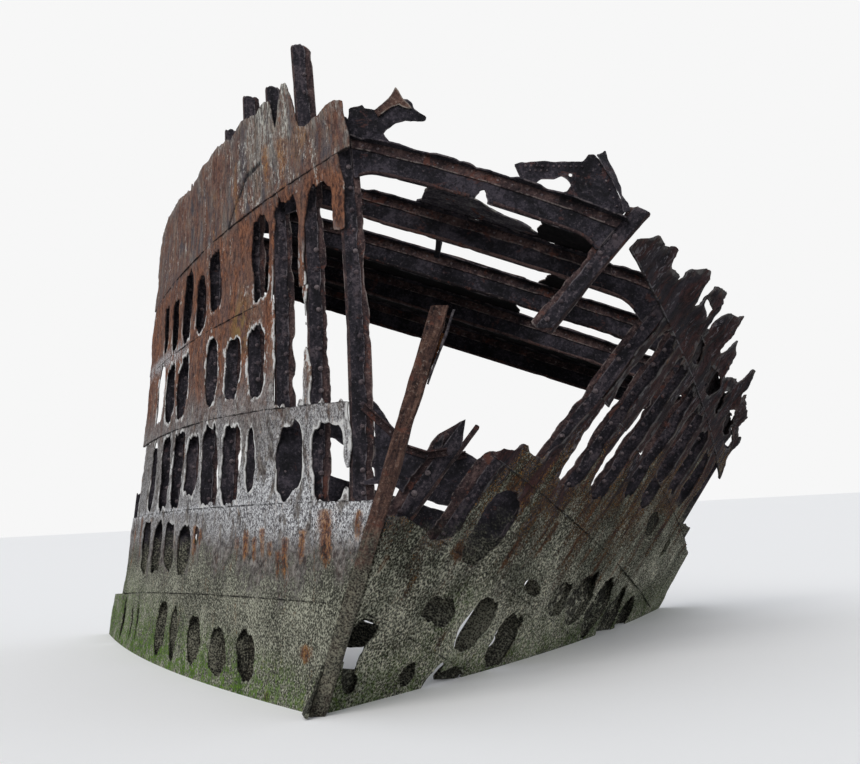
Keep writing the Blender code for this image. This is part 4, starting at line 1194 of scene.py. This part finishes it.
# plating left on the beams: node, finish, outline in (f, b), pin holes in (f, b)
DECKS = (
    ("deck_plating_1", DECK_IRON, ((0.97, 0.47), (1.8, 0.52), (2.86, 0.50), (2.86, 1.10), (2.0, 1.12),
    (1.4, 1.08),
                           (0.97, 1.04)), ((1.9, 0.66),)),
    ("deck_plating_2", GREY_IRON, ((1.74, -0.50), (1.79, -0.28), (2.02, -0.22), (2.20, -0.04),
    (2.36, 0.04), (2.44, 0.26),
                           (2.52, 0.46), (2.74, 0.56), (2.86, 0.60), (2.86, -0.58), (2.3, -0.52)), ()),
    ("deck_plating_3", DECK_IRON, ((4.87, -1.72), (6.93, -2.20), (6.93, 0.66), (6.2, 0.54), (5.6, 0.66),
    (4.87, 0.60)),
     ((5.9, 0.2), (6.3, -0.55), (5.4, -0.9))),
    ("deck_plating_4", DECK_IRON, ((6.90, -2.28), (8.94, -2.60), (8.94, 2.20), (7.6, 1.90), (6.90, 1.70)),
     ((7.9, 0.1),)),
    ("deck_plating_5", DECK_IRON, ((2.87, 0.72), (3.4, 0.80), (3.9, 0.74), (4.3, 0.80), (4.86, 0.72),
    (4.86, 1.12),
                           (4.2, 1.08), (3.5, 1.13), (2.87, 1.08)), ()),
)
DECK_CELL = 0.045                       # for plain sheets; the ones with many corners have the fine grid


def deck_piece(name, material, outline, pins):
    """Wasted deck plating lying on the beams, its height a little uneven."""
    body = Body()
    seed = seed_of(name)
    points = [(frame_a(f), b) for f, b in outline]
    a_s, b_s = zip(*points)
    cell = DECK_CELL if len(outline) < 7 else CELL
    a = np.arange(min(a_s) - 0.02, max(a_s) + 0.04, cell)[:, None]
    b = np.arange(min(b_s) - 0.02, max(b_s) + 0.04, cell)
    a, b = np.broadcast_arrays(a, b)
    on_beam = np.minimum(np.abs(a - a_s[0]), np.abs(a - max(a_s)))
    torn = 0.03 * rough(a, b, seed, 0.16, 4) + 0.05 * rough(a, b, seed + 6, 0.5, 2)
    keep = outline_keep(a, b, points) + torn * smooth(on_beam, 0.0, 0.1)
    for f, x in pins:
        keep = np.minimum(keep, np.hypot(a - frame_a(f), (b - x) * 1.5) - 0.026)
    end = half_breadth(a, 3.87) - 0.05
    h = beam_line(b, end) + 0.001 + 0.004 * (1.0 + rough(a, b, seed + 3, 0.3, 2))
    scale = 0.005 * (1.0 + rough(a, b, seed + 9, 0.14))
    sheet(body, to_part(a, b, h + 0.009 + scale), to_part(a, b, h), keep, inner=True, **ship_marks(a, b, h))
    body.piece(name + "_wasted", [material], [name], "remnant_rust")


def carling():
    """Short bar left between the second and third beams."""
    body = Body()
    rings = []
    for a in np.linspace(frame_a(3) - 0.05, frame_a(5) - 0.15, 9):
        swell = 0.004 * noise(a * 9.0, np.arange(4) * 2.0, 0.0, 5)
        b = np.array((-0.335, -0.285, -0.285, -0.335)) + swell
        rings.append(to_part(a, b, np.array((4.36, 4.36, 4.43, 4.43)) + swell))
    loft(body, rings, edge=0.3, ship_a=0.0, ship_h=4.4)
    body.piece("deck_carling", [BEAM_IRON], (), "remnant_rust")


for table_row in DECKS:
    deck_piece(*table_row)
carling()

# ---------------------------------------------------------------- stem

STEM_SIDES, STEM_RINGS, STEM_SQUARE = 24, 110, 0.16
LEAF = ((-0.045, 2.93), (0.02, 2.95), (0.10, 2.90), (0.11, 2.74), (0.06, 2.60), (0.02, 2.47), (-0.02, 2.43),
        (-0.05, 2.50), (-0.045, 2.70))
LEAF_PATCH = ((0.0, 2.62), (0.07, 2.80), (0.12, 2.78), (0.10, 2.66), (0.05, 2.55))


def squared(wave):
    """Turns a circle's sine or cosine into a rounded square's."""
    return np.sign(wave) * np.abs(wave) ** STEM_SQUARE


def stem_bar():
    """Stem bar: square bar with worn edges, split and chipped at its head."""
    body = Body()
    half, deep, mid = STEM_W / 2, 0.5 * (STEM_AFT - STEM_FORE), 0.5 * (STEM_FORE + STEM_AFT)
    turn = (np.arange(STEM_SIDES) + 0.5) * 2.0 * math.pi / STEM_SIDES
    cx, cy = squared(np.cos(turn)), squared(np.sin(turn))
    foot = float(ground_h(np.array(0.0), lambda h: 0.0 * h, lambda h: stem_a(h) + STEM_FORE)) - 0.12
    heights = np.linspace(foot, STEM_TOP, STEM_RINGS)
    rings = []
    for h in heights:
        head = smooth(h, STEM_TOP - 0.05, STEM_TOP)
        chip = 0.0035 + 0.0035 * rough(turn * 0.25, h, 41, 0.11) + 0.010 * head * (cx > 0)
        worn = 0.010 * np.clip(rough(h, turn * 0.3, 47, 0.24), 0.0, 1.0) * (np.abs(cx * cy) > 0.5)
        z = h - head * 0.03 * (cy < -0.5) - 0.012 * head * noise(cx * 3.0, cy * 3.0, 0, 5)
        a = stem_a(z) + (deep - chip - worn) * cx + mid
        rings.append(to_part(a, (half - chip - worn) * cy, np.minimum(z, STEM_TOP)))
    rings = np.array(rings)
    rings[..., 2] = np.maximum(rings[..., 2], 0.0)
    buried = max(int(np.sum(np.max(rings[..., 2], axis=1) <= 0.0)) - 1, 0)
    rings, heights = rings[buried:], heights[buried:]
    loft(body, rings, edge=0.2, ship_a=0.0, ship_b=np.tile(cy * 0.4, len(rings)),
         ship_h=np.repeat(heights, STEM_SIDES))
    body.piece("stem_bar_worn", [STEM_IRON], ["stem_bar"], "stem_rust", 40.0)


def stem_leaf():
    """Torn plate on the stem bar's port side with rust swelling behind it."""
    body = Body()
    s, h = np.broadcast_arrays(np.linspace(-0.07, 0.13, 17)[:, None], np.linspace(2.40, STEM_TOP, 46))
    a = stem_a(h) + s
    off = STEM_W / 2 + 0.004 + 0.022 * smooth(h, 2.45, 2.9) + 0.004 * rough(s, h, 62, 0.08, 2)
    marks = ship_marks(s, off, h)
    keep = outline_keep(s, h, LEAF) + 0.006 * rough(s, h, 61, 0.06)
    sheet(body, to_part(a, off + 0.014, h), to_part(a, off, h), keep, **marks)
    keep = outline_keep(s, h, LEAF_PATCH) + 0.004 * rough(s, h, 63, 0.06)
    sheet(body, to_part(a, off - 0.004, h), to_part(a, STEM_W / 2 - 0.004, h), keep, 1, **marks)
    body.piece("stem_leaf_torn", [WEB_IRON, RED_IRON], ["stem_leaf"], "stem_rust")


stem_bar()
stem_leaf()

# ---------------------------------------------------------------- floors and torn plates

FIRST_BEAM_A = frame_a(1) - WEB - SEAT - WEB       # fore face of the first beam
ANGLE_PROFILE = np.array((0.002, 0.012, 0.012, 0.07, 0.07, 0.002))      # how far ahead of the floor


def upright_plate(body, outline, a, thick, coat, seed, wear, ridges, holes=(), fold=None, cell=0.014):
    """Plate across the ship from an outline of (b, h); fold(b, h) carries it fore and aft."""
    bs, hs = zip(*outline)
    b, h = np.broadcast_arrays(np.arange(min(bs) - 0.02, max(bs) + 0.03, cell)[:, None],
                               np.arange(min(hs) - 0.02, max(hs) + 0.03, cell))
    keep = outline_keep(b, h, outline) + wear * rough(b, h, seed, 0.07)
    for hole in holes:
        keep = np.minimum(keep, -outline_keep(b, h, hole) + 0.5 * wear * rough(b, h, seed + 1, 0.05, 2))
    fore = a + ridges * rough(b, h, seed + 2, 0.09)
    if fold is not None:
        fore = fore + fold(b, h)
    plump = 0.4 + 0.6 * smooth(keep, 0.0, 0.03)
    sheet(body, to_part(fore, b, h), to_part(fore + thick * plump, b, h), keep, coat, **ship_marks(a, b, h))


def row_of_rivets(body, start, end, a, count, coat, radius, height):
    """Rivets on the fore face of an upright plate, from (b, h) to (b, h)."""
    t = np.linspace(0.0, 1.0, count)
    b, h = start[0] + (end[0] - start[0]) * t, start[1] + (end[1] - start[1]) * t
    rivets(body, a, b, h, AHEAD, radius, height, coat)


def angle_bar(body, points, a):
    """Riveted angle bar along a floor's top edge, through points (b, h)."""
    for start, end in zip(points, points[1:]):
        length = math.hypot(end[0] - start[0], end[1] - start[1])
        across = np.array(((start[1] - end[1]) / length, (end[0] - start[0]) / length))
        rings = []
        for point in (start, end):
            low, high = point - across * 0.05, point + across * 0.004
            under = high - across * 0.012
            rings.append(to_part(a - ANGLE_PROFILE, *np.transpose((low, low, under, under, high, high))))
        loft(body, rings, 1, edge=0.2, ship_a=a, ship_h=2.2)
        inset = across * 0.026
        row_of_rivets(body, start - inset, end - inset, a - 0.012, int(length / 0.09) + 1, 2, 0.010, 0.007)


def inner_b(a, h, inset):
    """Breadth to port at a station and height, that far in from the shell."""
    return float(half_breadth(a, h)) - THICK - inset


def bow_floor():
    """Deep floor in the bow with an angle bar along its hollow top."""
    body = Body()
    a = frame_a(1) - 2 * WEB - SEAT
    side = {h: inner_b(a, h, WEB_DEPTH - 0.03) for h in (1.80, 2.10, 2.28, 2.36)}
    outline = ((-side[1.80], 1.80), (-0.22, 1.72), (0.0, 1.78), (0.12, 1.76), (side[1.80], 1.80),
               (side[2.10], 2.10), (side[2.28], 2.28), (0.30, 2.18), (0.18, 2.10), (0.04, 2.11),
               (-0.10, 2.21), (-0.28, 2.34), (-side[2.36], 2.36), (-side[2.10], 2.10))
    upright_plate(body, outline, a, 0.012, 0, 71, wear=0.008, ridges=0.003)
    angle_bar(body, ((-0.36, 2.31), (-0.10, 2.19), (0.05, 2.10), (0.20, 2.10), (0.34, 2.17)), a)
    body.piece("bow_floor_torn", [BEAM_IRON, BAR_IRON, RIVET_IRON], ["bow_floor_plate"], "remnant_rust")


def deep_floor():
    """Floor of the third frame, split by a long rust slot, ragged along its foot."""
    body = Body()
    a = frame_a(3) - 2 * WEB - SEAT
    side = {h: inner_b(a, h, 0.012) for h in (0.56, 0.62, 1.30, 2.22, 2.32)}
    outline = ((-side[0.56], 0.56), (-0.30, 0.60), (-0.10, 0.55), (0.04, 0.54), (0.19, 0.60),
               (side[0.62], 0.62), (side[1.30], 1.30), (side[2.22], 2.22), (0.86, 2.28), (0.66, 2.36),
               (0.50, 2.40), (0.35, 2.31), (0.16, 2.27), (-0.10, 2.30), (-side[2.32], 2.32),
               (-side[1.30], 1.30))
    slot = ((-0.80, 1.86), (-0.30, 1.86), (0.10, 1.855), (0.45, 1.86), (0.64, 1.865), (0.60, 1.90),
            (0.55, 1.925), (0.47, 1.91), (0.41, 1.90), (0.30, 1.91), (0.10, 1.95), (-0.20, 2.03),
            (-0.62, 2.18), (-0.80, 2.10))
    pin = ((0.095, 0.785), (0.187, 0.785), (0.187, 0.797), (0.095, 0.797))
    upright_plate(body, outline, a, 0.014, 0, 77, holes=(slot, pin), wear=0.008, ridges=0.005, cell=0.03)
    angle_bar(body, ((-0.10, 2.30), (0.16, 2.27), (0.35, 2.31), (0.50, 2.40)), a)
    angle_bar(body, ((0.66, 2.36), (0.86, 2.28), (side[2.22] - 0.02, 2.22)), a)
    body.piece("deep_floor_torn", [BEAM_IRON, BAR_IRON, RIVET_IRON], ["deep_floor_03"], "remnant_rust")


def deck_remnant():
    """Riveted plate standing on the first beam, holed, with a folded plate at its outer edge."""
    body = Body()
    a = FIRST_BEAM_A
    face = ((0.18, 4.56), (0.23, 4.60), (0.38, 4.655), (0.65, 4.735), (0.71, 4.765), (0.735, 4.825),
            (0.78, 4.84), (0.825, 4.82), (0.97, 4.69), (1.08, 4.545), (1.15, 4.44), (1.12, 4.36),
            (0.24, 4.40), (0.265, 4.46))
    hole = ((0.39, 4.45), (0.42, 4.505), (0.53, 4.54), (0.575, 4.583), (0.622, 4.57), (0.67, 4.53),
            (0.655, 4.47), (0.60, 4.44), (0.48, 4.425))
    pin = ((0.63, 4.60), (0.655, 4.60), (0.655, 4.625), (0.63, 4.625))
    upright_plate(body, face, a, 0.014, 0, 81, holes=(hole, pin), wear=0.005, ridges=0.004)
    row_of_rivets(body, (0.275, 4.578), (0.711, 4.711), a - 0.002, 11, 1, 0.014, 0.012)
    row_of_rivets(body, (0.32, 4.552), (0.45, 4.592), a - 0.002, 4, 1, 0.011, 0.008)
    row_of_rivets(body, (0.84, 4.77), (1.07, 4.47), a - 0.002, 6, 1, 0.012, 0.009)
    folded = ((0.80, 4.83), (0.845, 4.90), (0.86, 4.945), (0.90, 4.87), (0.945, 4.82), (1.01, 4.74),
              (1.07, 4.65), (1.085, 4.58), (1.15, 4.54), (1.19, 4.47), (1.13, 4.40), (1.08, 4.54),
              (0.96, 4.68))

    def swing(b, h):
        return -0.035 + 0.9 * np.clip((b - 0.80) * 0.8 + (h - 4.83) * 0.72, -0.02, 0.3)
    upright_plate(body, folded, a, 0.018, 2, 83, wear=0.006, ridges=0.006, fold=swing)
    body.piece("deck_remnant_torn", [BEAM_IRON, RIVET_IRON, WEB_IRON], ["deck_plate_remnant"], "remnant_rust")


def fork():
    """Torn stringer at the starboard bulwark: a dark web with a bark-like strip along its top."""
    body = Body()
    web = ((-1.24, 4.62), (-1.15, 4.685), (-1.12, 4.66), (-1.03, 4.67), (-0.94, 4.76), (-0.863, 4.82),
           (-0.81, 4.836), (-0.758, 4.815), (-0.737, 4.776), (-0.696, 4.761), (-0.615, 4.751),
           (-0.61, 4.715), (-0.635, 4.70), (-0.774, 4.662), (-0.832, 4.607), (-0.894, 4.54), (-0.906, 4.50),
           (-0.868, 4.465), (-0.813, 4.43), (-0.84, 4.38), (-1.2, 4.38))
    upright_plate(body, web, FIRST_BEAM_A, 0.03, 0, 91, wear=0.006, ridges=0.008)
    bark = ((-1.04, 4.66), (-0.99, 4.73), (-0.955, 4.80), (-0.94, 4.86), (-0.93, 4.905), (-0.894, 4.88),
            (-0.846, 4.84), (-0.79, 4.80), (-0.75, 4.77), (-0.78, 4.76), (-0.86, 4.77), (-0.912, 4.73),
            (-0.99, 4.62))
    upright_plate(body, bark, FIRST_BEAM_A - 0.018, 0.03, 1, 93, wear=0.004, ridges=0.008, cell=0.01)
    body.piece("fork_torn", [BEAM_IRON, STEM_IRON], ["fork_remnant"], "remnant_rust")


bow_floor()
deep_floor()
deck_remnant()
fork()

# ---------------------------------------------------------------- setting

CAMERA_AT = (-0.589, -12.902, 1.6)
CAMERA_YAW, CAMERA_PITCH, CAMERA_ROLL = (math.radians(angle) for angle in (1.725, 6.871, -3.0))
CAMERA_LENS, CAMERA_SENSOR, CAMERA_SHIFT = 52.74, 36.0, (0.0314, -0.0435)
CAMERA_REACH = 200.0
FLOOR_HALF = 90.0
FLOOR_LIT, FLOOR_SEEN = (0.34, 0.34, 0.33, 1.0), (0.93, 0.91, 0.88, 1.0)     # as it lights, as it shows
SKY_LIT, SKY_SEEN = (0.62, 0.65, 0.70, 1.0), (0.93, 0.93, 0.93, 1.0)
SUN_STRENGTH, SUN_SPREAD = 1.3, math.radians(35.0)
SUN_TILT, SUN_TURN = math.radians(52.0), math.radians(-28.0)


def placed(name, data):
    obj = bpy.data.objects.new(name, data)
    bpy.context.scene.collection.objects.link(obj)
    return obj


def camera():
    """Low three-quarter view from ahead, a little off the ship's centre line."""
    data = bpy.data.cameras.new("camera")
    data.lens, data.sensor_width, data.sensor_fit = CAMERA_LENS, CAMERA_SENSOR, "HORIZONTAL"
    data.shift_x, data.shift_y = CAMERA_SHIFT
    data.clip_end = CAMERA_REACH
    obj = placed("camera", data)
    sin_y, cos_y = math.sin(CAMERA_YAW), math.cos(CAMERA_YAW)
    sin_p, cos_p = math.sin(CAMERA_PITCH), math.cos(CAMERA_PITCH)
    sin_r, cos_r = math.sin(CAMERA_ROLL), math.cos(CAMERA_ROLL)
    ahead = np.array((sin_y * cos_p, cos_y * cos_p, sin_p))
    level_up = np.array((-sin_y * sin_p, -cos_y * sin_p, cos_p))
    level_right = np.array((cos_y, -sin_y, 0.0))
    right = cos_r * level_right + sin_r * level_up
    up = -sin_r * level_right + cos_r * level_up
    matrix = Matrix([[*line, 0.0] for line in zip(right, up, -ahead)] + [[0.0, 0.0, 0.0, 1.0]])
    matrix.translation = CAMERA_AT
    obj.matrix_world = matrix
    bpy.context.scene.camera = obj


def floor():
    """Pale floor that gives little light back to the wreck's underside."""
    mesh = bpy.data.meshes.new("floor")
    corners = [(x * FLOOR_HALF, y * FLOOR_HALF, 0) for x, y in ((-1, -1), (1, -1), (1, 1), (-1, 1))]
    mesh.from_pydata(corners, [], [(0, 1, 2, 3)])
    obj = placed("floor", mesh)
    g = Graph("floor", 0.95)
    seen = g.node("ShaderNodeLightPath").outputs["Is Camera Ray"]
    g.tree.links.new(g.mix(seen, FLOOR_LIT, FLOOR_SEEN), g.shader.inputs["Base Color"])
    mesh.materials.append(g.material)


def light():
    """Overcast sky with one wide, soft sun."""
    world = bpy.data.worlds.new("sky")
    bpy.context.scene.world = world
    world.use_nodes = True
    tree = world.node_tree
    seen = tree.nodes.new("ShaderNodeLightPath").outputs["Is Camera Ray"]
    mix = tree.nodes.new("ShaderNodeMix")
    mix.data_type = "RGBA"
    mix.inputs[6].default_value = SKY_LIT
    mix.inputs[7].default_value = SKY_SEEN
    tree.links.new(seen, mix.inputs[0])
    tree.links.new(mix.outputs[2], tree.nodes["Background"].inputs["Color"])
    lamp = bpy.data.lights.new("sun", "SUN")
    lamp.energy, lamp.angle = SUN_STRENGTH, SUN_SPREAD
    placed("sun", lamp).rotation_euler = (SUN_TILT, 0.0, SUN_TURN)


camera()
floor()
light()
bpy.context.scene.view_settings.view_transform = "Standard"
